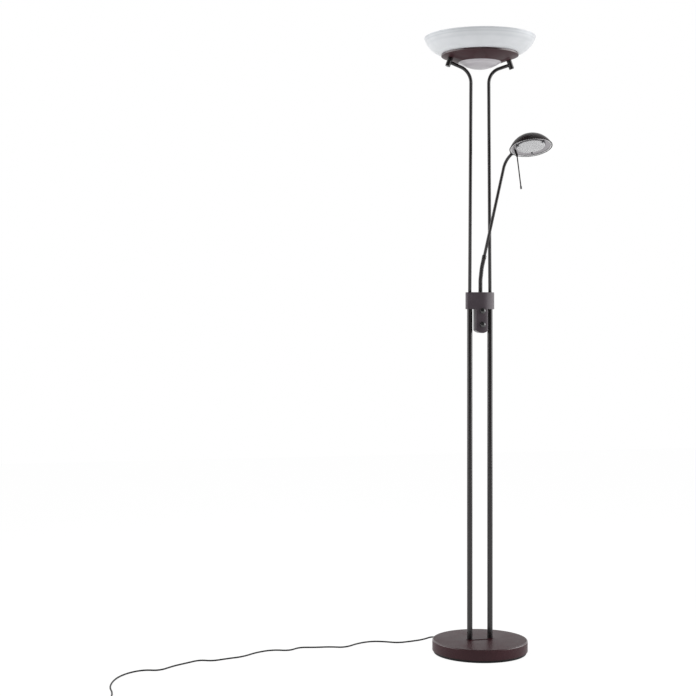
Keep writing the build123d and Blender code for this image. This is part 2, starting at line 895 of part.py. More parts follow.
screw_places = (
    (-housing_screw_spread, housing_screw_height, housing_end_radius),
    (housing_screw_spread, housing_screw_height, housing_end_radius),
    (0, tongue_screw_height, housing_rear_line + housing_wall),
)
front_side = Plane.XZ  # local Y is up, its normal points to the front

with BuildPart() as housing_shell:
    with BuildSketch(Plane.XY.offset(housing_bottom)):
        add(block_plan(0))
    extrude(amount=lid_bottom - housing_bottom)
    add(tongue_solid(0, housing_bottom + housing_wall))
    with BuildSketch(Plane.XY.offset(housing_bottom + housing_wall)):
        add(block_plan(housing_wall))
    extrude(amount=lid_bottom - housing_bottom, mode=Mode.SUBTRACT)
    add(tongue_solid(housing_wall, housing_bottom + housing_wall), mode=Mode.SUBTRACT)
    with BuildSketch(Plane.XY.offset(housing_bottom)):
        with pole_places:
            Circle(pole_diameter / 2 + slip)
    extrude(amount=housing_wall, mode=Mode.SUBTRACT)

with BuildPart() as housing_front_half:
    add(housing_shell.part)
    for x, z, rear in screw_places:
        with BuildSketch(front_side.offset(-housing_rear_line)):
            with Locations((x, z)):
                Circle(housing_boss_diameter / 2)
        extrude(amount=housing_rear_line - front_face(x, housing_wall / 2))
    with BuildSketch(front_side.offset(-housing_rear_line)):
        with Locations((0, housing_bottom)):
            Rectangle(housing_front * 5, housing_front * 10)
    extrude(amount=-housing_front, mode=Mode.SUBTRACT)
    for x, z, rear in screw_places:
        with BuildSketch(front_side.offset(-rear)):
            with Locations((x, z)):
                Circle(housing_screw_diameter / 2 + running)
        extrude(amount=housing_screw_length + slip, mode=Mode.SUBTRACT)
    with BuildSketch(front_side):
        with Locations(*[(0, height) for height in knob_heights]):
            Circle(bushing_diameter / 2 + running)
    extrude(amount=housing_front + housing_wall, mode=Mode.SUBTRACT)
write(housing_front_half, "housing_front")

with BuildPart() as housing_rear_half:
    add(housing_shell.part)
    for x, z, rear in screw_places:
        with BuildSketch(front_side.offset(-rear)):
            with Locations((x, z)):
                Circle(housing_boss_diameter / 2)
        extrude(amount=rear - housing_rear_line)
    with BuildSketch(front_side.offset(-housing_rear_line)):
        with Locations((0, housing_bottom)):
            Rectangle(housing_front * 5, housing_front * 10)
    extrude(amount=housing_front * 2, mode=Mode.SUBTRACT)
    for x, z, rear in screw_places:
        with BuildSketch(front_side.offset(-rear)):
            with Locations((x, z)):
                Circle(housing_screw_diameter / 2 + slip)
        extrude(amount=housing_screw_length, mode=Mode.SUBTRACT)
write(housing_rear_half, "housing_rear")

with BuildPart() as housing_screws:
    for x, z, rear in screw_places:
        with BuildSketch(front_side.offset(-rear)):
            with Locations((x, z)):
                Circle(housing_screw_head / 2)
        extrude(amount=-housing_screw_head_height)
    fillet(
        [head.edges().sort_by(Axis.Y)[-1] for head in housing_screws.solids()],
        radius=housing_screw_head_height / 2,
    )
    for x, z, rear in screw_places:
        with BuildSketch(front_side.offset(-rear)):
            with Locations((x, z)):
                Circle(housing_screw_diameter / 2)
        extrude(amount=housing_screw_length)
write(housing_screws, "housing_screws")

lip_inset = housing_wall + slip
with BuildPart() as housing_lid:
    with BuildSketch(Plane.XY.offset(lid_bottom)):
        add(block_plan(0))
    extrude(amount=lid_thickness)
    fillet(housing_lid.edges().group_by(Axis.Z)[-1], radius=lid_edge_radius)
    with BuildSketch(Plane.XY.offset(lid_groove_height)):
        add(block_plan(-1))
        add(block_plan(lid_groove), mode=Mode.SUBTRACT)
    extrude(amount=-lid_groove, mode=Mode.SUBTRACT)
    with BuildSketch(Plane.XY.offset(lid_bottom)):
        add(block_plan(lip_inset))
        add(block_plan(lip_inset + lid_lip), mode=Mode.SUBTRACT)
    extrude(amount=-lid_lip_depth)
    with BuildSketch(Plane.XY.offset(lid_bottom)):
        add(block_plan(lip_inset + lid_lip))
        Rectangle(tongue_width - 2 * housing_wall, pole_diameter * 4, mode=Mode.INTERSECT)
    extrude(amount=lid_thickness - lid_plate, mode=Mode.SUBTRACT)
    with BuildSketch(Plane.XY.offset(lid_bottom - lid_lip_depth)):
        with pole_places:
            Circle(pole_diameter / 2 + slip)
    extrude(amount=reducer_top + slip - lid_bottom + lid_lip_depth, mode=Mode.SUBTRACT)
    with BuildSketch(Plane.XY.offset(lid_bottom)):
        with pole_places:
            Circle(upper_diameter / 2 + wire_play)
        with Locations((0, -neck_offset)):
            Circle(neck_spigot / 2 + slip)
    extrude(amount=lid_thickness, mode=Mode.SUBTRACT)
write(housing_lid, "housing_lid")

# ---------------------------------------------------------------- dimmers

pot_front = housing_front - housing_wall - bushing_seat
board_front = pot_front - pot_depth
knob_back = housing_front + knob_gap
bushing_tip = housing_front + dimmer_nut_height
dimmer_spots = [(0, height) for height in knob_heights]

with BuildPart() as dimmer_pots:
    with BuildSketch(front_side.offset(pot_front)):
        with Locations(*dimmer_spots):
            Circle(pot_diameter / 2)
    extrude(amount=-pot_depth)
    with BuildSketch(front_side.offset(pot_front)):
        with Locations(*dimmer_spots):
            Circle(bushing_diameter / 2)
    extrude(amount=bushing_tip - pot_front)
    with BuildSketch(front_side.offset(board_front + pot_floor)):
        with Locations(*dimmer_spots):
            Circle(shaft_diameter / 2 + running)
    extrude(amount=housing_front, mode=Mode.SUBTRACT)
write(dimmer_pots, "dimmer_pots")

with BuildPart() as dimmer_nuts:
    with BuildSketch(front_side.offset(housing_front)):
        with Locations(*dimmer_spots):
            Circle(dimmer_nut_diameter / 2)
            Circle(bushing_diameter / 2 + running, mode=Mode.SUBTRACT)
    extrude(amount=dimmer_nut_height)
write(dimmer_nuts, "dimmer_nuts")

for knob_name, height in zip(("lower", "upper"), knob_heights):
    with BuildPart() as shaft:
        with BuildSketch(front_side.offset(board_front + pot_floor + running)):
            with Locations((0, height)):
                Circle(shaft_diameter / 2)
        extrude(amount=knob_back + nut_room + knob_bore_depth - board_front - pot_floor)
    write(shaft, f"{knob_name}_shaft")
    with BuildPart() as knob:
        with BuildSketch(front_side.offset(knob_back)):
            with Locations((0, height)):
                Circle(knob_diameter / 2)
        extrude(amount=knob_height)
        fillet(knob.edges().group_by(Axis.Y)[0], radius=knob_edge_radius)
        with BuildSketch(front_side.offset(knob_back)):
            with Locations((0, height)):
                Circle(dimmer_nut_diameter / 2 + knob_gap)
        extrude(amount=nut_room, mode=Mode.SUBTRACT)
        with BuildSketch(front_side.offset(knob_back)):
            with Locations((0, height)):
                Circle(shaft_diameter / 2 + running)
        extrude(amount=nut_room + knob_bore_depth + slip, mode=Mode.SUBTRACT)
    write(knob, f"{knob_name}_knob")

with BuildPart() as dimmer_board:
    with BuildSketch(front_side.offset(board_front)):
        with Locations((0, board_centre_height)):
            Rectangle(board_width, board_length)
    extrude(amount=-board_thickness)
write(dimmer_board, "dimmer_board")

with BuildPart() as dimmer_parts:
    with BuildSketch(front_side.offset(board_front - board_thickness)):
        with Locations(*dimmer_spots):
            Circle(choke_diameter / 2)
    extrude(amount=-choke_height)
    with BuildSketch(front_side.offset(board_front - board_thickness)):
        with Locations(
            (0, board_centre_height + board_length / 2 - terminal_height),
            (0, sum(knob_heights) / 2),
        ):
            Rectangle(board_width - terminal_height, terminal_height)
    extrude(amount=-choke_height)
write(dimmer_parts, "dimmer_parts")

# ---------------------------------------------------------------- gooseneck and arm

bend_normal = Vector(-sin(radians(arm_azimuth)), cos(radians(arm_azimuth)), 0)
neck_foot_top = lid_top + neck_foot_height
neck_start = Vector(0, -neck_offset, neck_foot_top)
first_corner = Vector(0, -neck_offset, lid_top + neck_first_bend)
second_corner = first_corner + direction(arm_azimuth, arm_lean / 2) * neck_between_bends
lean_direction = direction(arm_azimuth, arm_lean)
neck_end = second_corner + lean_direction * neck_last_run
neck_split = first_corner + direction(arm_azimuth, arm_lean / 2) * (neck_between_bends / 2)
bend_middle = second_corner - lean_direction * (
    neck_between_bends / 2 / cos(radians(arm_lean / 2))
)

with BuildPart() as neck_foot:
    with BuildSketch(Plane.XY.offset(lid_top)):
        with Locations((0, -neck_offset)):
            Circle(neck_crest / 2)
    extrude(amount=neck_foot_height)
    chamfer(neck_foot.edges().group_by(Axis.Z)[-1], length=pole_edge_chamfer)
    with BuildSketch(Plane.XY.offset(lid_top)):
        with Locations((0, -neck_offset)):
            Circle(neck_spigot / 2)
    extrude(amount=-neck_spigot_depth)
    with BuildSketch(Plane.XY.offset(neck_foot_top)):
        with Locations((0, -neck_offset)):
            Circle(neck_bore / 2)
    extrude(amount=-neck_spigot_depth - neck_foot_height, mode=Mode.SUBTRACT)
write(neck_foot, "neck_foot")

with BuildPart() as neck_nut:
    with BuildSketch(Plane.XY.offset(lid_top - lid_plate)):
        with Locations((0, -neck_offset)):
            RegularPolygon(neck_nut_across_flats / 2, 6, major_radius=False)
            Circle(neck_spigot / 2 + running, mode=Mode.SUBTRACT)
    extrude(amount=-neck_nut_height)
write(neck_nut, "neck_nut")


def ribbed_hose(points, radii):
    """Hose with round ribs along a path, and its bore. Every section has one X axis."""
    path = FilletPolyline(*points, radius=radii)
    ribs = round(path.length / rib_pitch)
    step = path.length / ribs
    crest, valley = neck_crest / 2, neck_valley / 2
    shape = ((0, valley), (0.2, crest), (0.6, crest), (0.8, valley))
    stations = [((rib + part) * step, radius) for rib in range(ribs) for part, radius in shape]
    stations.append((path.length, valley))
    with BuildPart() as hose:
        for reach, radius in stations:
            share = reach / path.length
            with BuildSketch(Plane(origin=path @ share, x_dir=bend_normal, z_dir=path % share)):
                Circle(radius)
        loft(ruled=True)
        with BuildSketch(Plane(origin=path @ 0, x_dir=bend_normal, z_dir=path % 0)):
            Circle(neck_bore / 2)
        sweep(path=path, mode=Mode.SUBTRACT)
    print(f"hose of {path.length:.1f} mm with {ribs} ribs, volume {hose.part.volume:.0f} mm3")
    return hose


write(ribbed_hose((neck_start, first_corner, neck_split), neck_bend_radius), "gooseneck_lower")
write(ribbed_hose((neck_split, second_corner, neck_end), neck_bend_radius), "gooseneck_upper")

# reading head's own axes: the dome rises along head_up, head_out points away from the arm
head_up = Vector(0, sin(radians(head_tilt)), cos(radians(head_tilt)))
level_out = direction(head_azimuth, 90)
head_out = (level_out - head_up * level_out.dot(head_up)).normalized()
swivel_axis = (
    head_out * cos(radians(head_mount_angle)) + head_up * sin(radians(head_mount_angle))
)
arm_corner = bend_middle + lean_direction * arm_rise
swivel = arm_corner + swivel_axis * arm_end_run
head_centre = swivel + head_out * knuckle_stand_off - head_up * knuckle_height
head_plane = Plane(origin=head_centre, x_dir=head_out, z_dir=head_up)
head_section = Plane(origin=head_centre, x_dir=head_out, z_dir=head_out.cross(head_up))
head_axis = Axis(head_centre, head_up)

with BuildPart() as arm_tube:
    with BuildLine() as arm_path:
        FilletPolyline(neck_end, arm_corner, swivel, radius=arm_bend_radius)
    with BuildSketch(Plane(origin=neck_end, x_dir=bend_normal, z_dir=lean_direction)):
        Circle(arm_diameter / 2)
        Circle(arm_diameter / 2 - arm_wall, mode=Mode.SUBTRACT)
    sweep()
write(arm_tube, "arm_tube")

with BuildPart() as arm_ferrule:
    with BuildSketch(Plane(origin=neck_end, x_dir=bend_normal, z_dir=lean_direction)):
        Circle(ferrule_diameter / 2)
        Circle(arm_diameter / 2 + running, mode=Mode.SUBTRACT)
    extrude(amount=ferrule_length)
write(arm_ferrule, "arm_ferrule")

swivel_plane = Plane(origin=swivel, x_dir=head_section.z_dir, z_dir=swivel_axis)
with BuildPart() as swivel_pin:
    with BuildSketch(swivel_plane):
        Circle(arm_diameter / 2 - arm_wall - running)
    extrude(amount=-swivel_plug_length)
    with BuildSketch(swivel_plane):
        Circle(swivel_pin_diameter / 2)
    extrude(amount=swivel_pin_length)
write(swivel_pin, "swivel_pin")

# ---------------------------------------------------------------- reading head

shade_sphere = (head_radius**2 + head_depth**2) / (2 * head_depth)
shade_middle = head_depth - shade_sphere


def shade_height(radius, shell):
    """Height of the head's dome at a radius, on its outer face or a wall further in."""
    return shade_middle + sqrt((shade_sphere - shell) ** 2 - radius**2)


shade_inner_edge = sqrt((shade_sphere - head_wall) ** 2 - shade_middle**2)
with BuildPart() as head_shade:
    with BuildSketch(head_section) as shade_profile:
        with BuildLine():
            ThreePointArc(
                (head_radius, 0),
                (head_radius / 2, shade_height(head_radius / 2, 0)),
                (0, head_depth),
            )
            Line((0, head_depth), (0, head_depth - head_wall))
            ThreePointArc(
                (0, head_depth - head_wall),
                (shade_inner_edge / 2, shade_height(shade_inner_edge / 2, head_wall)),
                (shade_inner_edge, 0),
            )
            Line((shade_inner_edge, 0), (head_radius, 0))
        make_face()
        with Locations(((head_radius + shade_inner_edge) / 2, 0)):
            Circle(head_bead)
    revolve(axis=head_axis)
write(head_shade, "head_shade")

with BuildPart() as head_knuckle:
    with BuildSketch(swivel_plane.offset(swivel_gap)):
        Circle(knuckle_diameter / 2)
    extrude(amount=knuckle_length)
    chamfer(
        head_knuckle.edges().filter_by(GeomType.CIRCLE).sort_by(Axis(swivel, swivel_axis))[0],
        length=pole_edge_chamfer * 2,
    )
    with Locations(head_centre + head_up * shade_middle):
        Sphere(shade_sphere, mode=Mode.SUBTRACT)
    with BuildSketch(head_plane.offset(-head_depth)):
        Circle(head_radius + head_bead + slip)
    extrude(amount=head_depth + head_bead + slip, mode=Mode.SUBTRACT)
    with BuildSketch(swivel_plane):
        Circle(swivel_pin_diameter / 2 + running)
    extrude(amount=swivel_pin_length + swivel_gap, mode=Mode.SUBTRACT)
write(head_knuckle, "head_knuckle")

reflector_edge = shade_inner_edge - head_wall
ledge_rise = (reflector_ledge_height - reflector_lip_height) / (
    reflector_edge - reflector_ledge_radius
)


def ledge_height(radius):
    """Height of the reflector's outer ledge, on the side of the opening."""
    return reflector_lip_height + (reflector_edge - radius) * ledge_rise


with BuildPart() as reflector:
    with BuildSketch(head_section) as reflector_profile:
        with BuildLine():
            reflector_line = (
                (reflector_throat_radius, reflector_throat_height),
                (reflector_ledge_radius, reflector_ledge_height),
                (reflector_edge, reflector_lip_height),
            )
            Polyline(*thickened(reflector_line, reflector_wall), close=True)
        make_face()
    revolve(axis=head_axis)
write(reflector, "reflector")

lens_bottom = ledge_height(lens_diameter / 2) - lens_thickness - rest_gap
with BuildPart() as lens:
    with BuildSketch(head_plane.offset(lens_bottom)):
        Circle(lens_diameter / 2)
    extrude(amount=lens_thickness)
    fillet(lens.edges(), radius=lens_edge_radius)
write(lens, "lens")

clip_middle = lens_diameter / 2 + clip_length / 2 - clip_overlap
clip_post_place = clip_middle + clip_length / 2 - clip_post_diameter
with BuildPart() as lens_clips:
    with BuildSketch(head_plane.offset(lens_bottom)):
        with PolarLocations(clip_middle, clip_count):
            Rectangle(clip_length, clip_width)
    extrude(amount=-clip_thickness)
    with BuildSketch(head_plane.offset(lens_bottom)):
        with PolarLocations(clip_post_place, clip_count):
            Circle(clip_post_diameter / 2)
    extrude(amount=ledge_height(clip_post_place + clip_post_diameter / 2) - lens_bottom - slip)
write(lens_clips, "lens_clips")

holder_bottom = reflector_throat_height + reflector_wall
with BuildPart() as head_lampholder:
    with BuildSketch(head_plane.offset(holder_bottom)):
        Circle(holder_diameter / 2)
    extrude(amount=shade_height(holder_diameter / 2, head_wall) - rest_gap - holder_bottom)
write(head_lampholder, "head_lampholder")

with BuildPart() as capsule_bulb:
    with BuildSketch(head_plane.offset(holder_bottom)):
        Circle(bulb_diameter / 2)
    extrude(amount=-bulb_length)
    fillet(
        capsule_bulb.edges().sort_by(head_axis)[0],
        radius=bulb_diameter / 2 - slip,
    )
write(capsule_bulb, "capsule_bulb")

# lever under the reflector, with the rod that turns the head by hand
lever_x, lever_y = lever_root
lever_foot_top = ledge_height(hypot(lever_x, lever_y) + lever_width / 2) - slip
rod_top = Vector(-rod_offset, 0, -rod_start)
lever_start = Vector(lever_x, lever_y, lever_foot_top - lever_thickness)
lever_plane = Plane(
    origin=head_plane.from_local_coords(lever_start),
    x_dir=head_up,
    z_dir=head_plane.from_local_coords(rod_top) - head_plane.from_local_coords(lever_start),
)
with BuildPart() as handle_lever:
    with BuildSketch(head_plane.offset(lever_foot_top)):
        with Locations((lever_x, lever_y)):
            Circle(lever_width / 2)
    extrude(amount=-lever_thickness)
    with BuildSketch(lever_plane):
        Rectangle(lever_thickness, lever_width)
    extrude(amount=(rod_top - lever_start).length)
    with BuildSketch(head_plane.offset(rod_top.Z + lever_thickness / 2)):
        with Locations((rod_top.X, rod_top.Y)):
            Circle(lever_width / 2 + wire_play)
    extrude(amount=-lever_boss_height)
    with BuildSketch(head_plane.offset(rod_top.Z)):
        with Locations((rod_top.X, rod_top.Y)):
            Circle(rod_diameter / 2 + running)
    extrude(amount=-lever_boss_height, mode=Mode.SUBTRACT)
write(handle_lever, "handle_lever")

with BuildPart() as handle_rod:
    with BuildSketch(head_plane.offset(rod_top.Z - running)):
        with Locations((rod_top.X, rod_top.Y)):
            Circle(rod_diameter / 2)
    extrude(amount=-rod_length)
write(handle_rod, "handle_rod")

with BuildPart() as handle_tip:
    with BuildSketch(head_plane.offset(rod_top.Z - rod_length + tip_grip)):
        with Locations((rod_top.X, rod_top.Y)):
            Circle(tip_diameter / 2)
    extrude(amount=-tip_length)
    fillet(handle_tip.edges(), radius=tip_diameter / 5)
    with BuildSketch(head_plane.offset(rod_top.Z - rod_length - running)):
        with Locations((rod_top.X, rod_top.Y)):
            Circle(rod_diameter / 2 + running)
    extrude(amount=2 * tip_grip, mode=Mode.SUBTRACT)
write(handle_tip, "handle_tip")

# ---------------------------------------------------------------- mains cord

relief_plane = exit_plane.offset(cover_wall)
with BuildPart() as strain_relief:
    with BuildSketch(relief_plane):
        Circle(relief_root / 2)
    with BuildSketch(relief_plane.offset(relief_length)):
        Circle(relief_tip / 2)
    loft()
    with BuildSketch(relief_plane):
        Circle(relief_neck / 2)
    extrude(amount=-cover_wall - rest_gap)
    with BuildSketch(exit_plane.offset(-rest_gap)):
        Circle(relief_flange / 2)
    extrude(amount=-relief_flange_length)
write(strain_relief, "strain_relief")

# leads inside the base and the poles
lead_outer = exit_plane.offset(-rest_gap - relief_flange_length)
lead_skip = reducer_stub_height + stud_below_nut
with BuildPart() as inner_leads:
    with BuildSketch(lead_outer):
        Circle(lead_diameter / 2)
    extrude(amount=-(cover_bore_radius - relief_flange_length - base_lead_end))
    with BuildSketch(Plane.XY.offset(stud_bottom - stud_below_nut)):
        with pole_places:
            Circle(lead_diameter / 2)
    extrude(amount=reducer_top + reducer_stub_height - stud_bottom)
    for side_name, side in sides:
        add(upper_sweep(side, sleeve_diameter / 2, 0, lead_skip).part)
write(inner_leads, "inner_leads")


def turn_radii(points):
    """Largest arc that fits at each inner point of a route."""
    radii = []
    for before, here, after in zip(points, points[1:], points[2:]):
        run_in, run_out = here - before, after - here
        half_turn = radians(run_in.get_angle(run_out)) / 2
        radii.append(arc_share * min(run_in.length, run_out.length) / tan(half_turn))
    return radii


def round_tube(path, start_direction, diameter, name):
    """Sweep a cord along a path and compare its volume with section times length."""
    with BuildPart() as tube:
        with BuildSketch(Plane(origin=path @ 0, z_dir=start_direction)):
            Circle(diameter / 2)
        sweep(path=path)
    expected = pi / 4 * diameter**2 * path.length
    ratio = tube.part.volume / expected
    print(f"{name}: {path.length:.0f} mm long, volume {ratio:.4f} of section x length")
    return tube


relief_end = relief_plane.offset(relief_length).origin
route = [relief_end, relief_end + exit_direction * exit_run]
route += [Vector(*point) for point in cord_route] + [Vector(*coil_start)]
radii = turn_radii(route)
print("cord radii:", ", ".join(f"{radius:.0f}" for radius in radii))
print("cord runs:", ", ".join(f"{(b - a).length:.0f}" for a, b in zip(route, route[1:])))
run_path = FilletPolyline(*route, radius=radii)
write(round_tube(run_path, run_path % 0, cord_diameter, "cord_run"), "cord_run")


def biarc(start, start_tangent, end, end_tangent):
    """Two arcs that join two points with given directions."""
    gap = end - start
    both = start_tangent + end_tangent
    bend = 2 * (1 - start_tangent.dot(end_tangent))
    across = gap.dot(both)
    if bend < slip / 100:
        reach = gap.dot(gap) / (2 * across)
    else:
        reach = (sqrt(across**2 + bend * gap.dot(gap)) - across) / bend
    knee_in, knee_out = start + start_tangent * reach, end - end_tangent * reach
    middle = (knee_in + knee_out) * 0.5
    edges = []
    for a, b, tangent, first in (
        (start, middle, start_tangent, True),
        (middle, end, end_tangent, False),
    ):
        if (b - a).cross(tangent).length < slip / 100:
            edges.append(Edge.make_line(a, b))
        elif first:
            edges.append(Edge.make_tangent_arc(a, tangent, b))
        else:
            edges.append(Edge.make_tangent_arc(b, -tangent, a))
    return edges


# The coil winds clockwise, seen from above: inwards on the lower layer, up a layer in the
# half turn where the spiral reverses, and outwards on the upper layer.
arrival = (run_path % 1).normalized()
arrival = Vector(arrival.X, arrival.Y, 0).normalized()
arrival_angle = atan2(arrival.Y, arrival.X)
coil_entry = Vector(*coil_start) + arrival * cord_diameter
coil_middle = coil_entry + Vector(arrival.Y, -arrival.X, 0) * coil_outer_radius
first_angle = arrival_angle + pi / 2


def coil_radius(turns):
    """Radius of the spiral after a number of turns."""
    reversal = turns_in + 0.25
    return coil_outer_radius - coil_pitch * (reversal - abs(turns - reversal))


def coil_height(turns):
    """Height of the spiral after a number of turns."""
    share = min(max((turns - turns_in) * 2, 0), 1)
    return coil_start[2] + coil_layer_rise * share**2 * (3 - 2 * share)


def coil_point(turns):
    """Point of the spiral after a number of turns."""
    angle = first_angle - 2 * pi * turns
    radius = coil_radius(turns)
    flat = coil_middle + Vector(cos(angle), sin(angle), 0) * radius
    return Vector(flat.X, flat.Y, coil_height(turns))


def coil_tangent(turns, flat):
    """Direction of the spiral, without the widening where it starts, turns and ends."""
    nudge = 1 / 2000
    step = coil_point(turns + nudge) - coil_point(turns - nudge)
    angle = first_angle - 2 * pi * turns
    if flat:
        return Vector(sin(angle), -cos(angle), 0)
    return step.normalized()


turn_steps = round((turns_in + 0.5 + turns_out) * 4)
coil_edges = [Edge.make_line(Vector(*coil_start), coil_entry)]
marks = []
for quarter in range(turn_steps + 1):
    turns = quarter / 4
    flat = quarter in (0, turn_steps) or abs(turns - turns_in) < 0.1 or (
        abs(turns - turns_in - 0.5) < 0.1
    )
    marks.append((coil_point(turns), coil_tangent(turns, flat)))
coil_exit, exit_heading = marks[-1]
tail_end = coil_exit + exit_heading * coil_tail
marks.append((Vector(tail_end.X, tail_end.Y, plug_height), exit_heading))
for (start, start_tangent), (end, end_tangent) in zip(marks, marks[1:]):
    coil_edges += biarc(start, start_tangent, end, end_tangent)
plug_entry = marks[-1][0] + exit_heading * cord_diameter
coil_edges.append(Edge.make_line(marks[-1][0], plug_entry))
coil_path = Wire(coil_edges)
write(round_tube(coil_path, coil_path % 0, cord_diameter, "cord_coil"), "cord_coil")

samples = [coil_path @ (i / coil_samples) for i in range(coil_samples + 1)]
spacing = coil_path.length / coil_samples
skip = ceil(3 * cord_diameter / spacing)
least = min(
    (samples[i] - samples[j]).length
    for i in range(len(samples))
    for j in range(i + skip, len(samples))
)
print(f"least gap between the coil's turns {least - cord_diameter:.2f} mm")
print(f"whole cord {run_path.length + coil_path.length + relief_length:.0f} mm")

# tie around the coil, on the side across from where the cord arrives
tie_turns = 0.5
tie_angle = first_angle - pi
tie_out = Vector(cos(tie_angle), sin(tie_angle), 0)
tie_inner = coil_radius(turns_in) - cord_diameter / 2 - tie_play
tie_outer = coil_radius(tie_turns) + cord_diameter / 2 + tie_play
tie_low = coil_start[2] - cord_diameter / 2 - slip
tie_high = coil_start[2] + coil_layer_rise + cord_diameter / 2 + slip
tie_plane = Plane(
    origin=Vector(coil_middle.X, coil_middle.Y, (tie_low + tie_high) / 2)
    + tie_out * ((tie_inner + tie_outer) / 2),
    x_dir=tie_out,
    z_dir=tie_out.cross(Vector(0, 0, 1)),
)
with BuildPart() as cord_tie:
    with BuildSketch(tie_plane):
        RectangleRounded(
            tie_outer - tie_inner + 2 * tie_wall, tie_high - tie_low + 2 * tie_wall, tie_corner
        )
        Rectangle(tie_outer - tie_inner, tie_high - tie_low, mode=Mode.SUBTRACT)
    extrude(amount=tie_width / 2, both=True)
write(cord_tie, "cord_tie")

# flat two-pin plug that lies beside the coil
plug_plane = Plane(
    origin=plug_entry, x_dir=exit_heading.cross(Vector(0, 0, 1)), z_dir=exit_heading
)
plug_top = Plane(
    origin=plug_entry + exit_heading * plug_sleeve, x_dir=exit_heading, z_dir=(0, 0, 1)
)
with BuildPart() as plug:
    with BuildSketch(plug_top):
        with BuildLine():
            half_neck, half_width = plug_neck / 2, plug_width / 2
            Polyline(
                (0, half_neck),
                (plug_length * plug_shoulder, half_width),
                (plug_length * plug_face_start, half_width),
                (plug_length, half_width - plug_taper),
                (plug_length, -half_width + plug_taper),
                (plug_length * plug_face_start, -half_width),
                (plug_length * plug_shoulder, -half_width),
                (0, -half_neck),
                close=True,
            )
        make_face()
    extrude(amount=plug_height - slip, both=True)
    fillet(plug.edges().filter_by(Axis.Z, reverse=True), radius=plug_edge_radius)
    with BuildSketch(plug_plane):
        Circle(relief_tip / 2)
    with BuildSketch(plug_plane.offset(plug_sleeve + slip)):
        Circle(plug_neck / 2 - plug_edge_radius)
    loft()
write(plug, "plug")

with BuildPart() as plug_pins:
    with BuildSketch(plug_plane.offset(plug_sleeve + plug_length)):
        with Locations((-pin_spacing / 2, 0), (pin_spacing / 2, 0)):
            Circle(pin_diameter / 2)
    extrude(amount=pin_length)
    fillet(
        plug_pins.edges().filter_by(GeomType.CIRCLE).group_by(Axis(plug_entry, exit_heading))[-1],
        radius=pin_diameter / 4,
    )
write(plug_pins, "plug_pins")
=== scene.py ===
"""Looks of a twin-pole torchiere floor lamp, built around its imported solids."""

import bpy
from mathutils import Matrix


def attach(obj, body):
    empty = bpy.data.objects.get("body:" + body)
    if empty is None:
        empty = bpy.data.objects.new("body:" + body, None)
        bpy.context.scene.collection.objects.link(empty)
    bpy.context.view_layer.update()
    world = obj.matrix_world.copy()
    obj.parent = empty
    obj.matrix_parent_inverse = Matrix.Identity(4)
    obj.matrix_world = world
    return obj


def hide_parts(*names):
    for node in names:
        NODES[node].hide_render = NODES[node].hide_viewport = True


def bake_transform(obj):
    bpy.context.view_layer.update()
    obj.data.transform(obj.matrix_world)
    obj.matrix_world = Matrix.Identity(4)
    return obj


bl_info = {
    "name": "Torchiere Floor Lamp",
    "version": (1, 0, 0),
    "blender": (4, 5, 0),
    "location": "View3D > Sidebar > Torchiere",
    "description": "Dresses a floor lamp that has an uplight bowl and a reading light",
    "category": "Object",
}

from math import atan2, cos, pi, radians, sin, sqrt, tan

import bmesh
import bpy
from bpy.props import FloatProperty, FloatVectorProperty, PointerProperty
from bpy.types import Operator, Panel, PropertyGroup
from mathutils import Matrix, Vector

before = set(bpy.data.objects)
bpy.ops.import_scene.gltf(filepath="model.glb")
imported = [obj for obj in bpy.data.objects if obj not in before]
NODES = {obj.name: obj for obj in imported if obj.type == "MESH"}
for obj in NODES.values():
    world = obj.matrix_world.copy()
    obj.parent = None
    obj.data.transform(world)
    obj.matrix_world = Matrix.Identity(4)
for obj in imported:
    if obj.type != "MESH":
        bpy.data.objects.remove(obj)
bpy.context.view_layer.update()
MM = 0.001  # shapes are drawn in millimetres and brought to metres at the end

# ---------------------------------------------------------------- places, in millimetres

BASE_RADIUS = 139.2
COVER_TOP_Z = 38.6
COVER_LOW_Z = 7.1
COVER_WALL = 1.5
POLE_X = 31.2
POLE_SEAT = 10.0
FOOT_Z = 40.1
JOINT_Z = 540.0
POLE_TOP_Z = 1045.0
UPPER_FOOT_Z = 1048.1
UPPER_TOP_X = 27.4
RING_OPENING = (62.5, 1727.0)
RING_EDGE = (113.0, 1745.5)
RING_LIP_Z = 1750.5
RING_SLOPE = atan2(RING_EDGE[1] - RING_OPENING[1], RING_EDGE[0] - RING_OPENING[0])
SHEET = 1.2
SHEET_RISE = SHEET / cos(RING_SLOPE)  # upright thickness of the ring's sloping sheet
BOSS_SEAT = 90.0
BOSS_LENGTH = 27.0
BOWL_FOOT = (112.5, 1750.9)
BOWL_CENTRE = (94.411, 1820.3045)
BOWL_TOP_Z = 1800.0
BOWL_WALL = 4.0
NECK_Y = -5.0
NECK_FOOT_Z = 1056.9
LAMP_Z = 1765.0


def leaning(azimuth, lean):
    """Direction that leans from +Z towards an azimuth, both in degrees."""
    azimuth, lean = radians(azimuth), radians(lean)
    return Vector((sin(lean) * cos(azimuth), sin(lean) * sin(azimuth), cos(lean)))


ARM_UP = leaning(-14.0, 12.4)
NECK_START = Vector((0, NECK_Y, NECK_FOOT_Z))
NECK_BEND = Vector((0, NECK_Y, 1089.9))
NECK_SPLIT = NECK_BEND + leaning(-14.0, 6.2) * 18.2
NECK_NOD = NECK_BEND + leaning(-14.0, 6.2) * 36.4
NECK_END = NECK_NOD + ARM_UP * 26.0

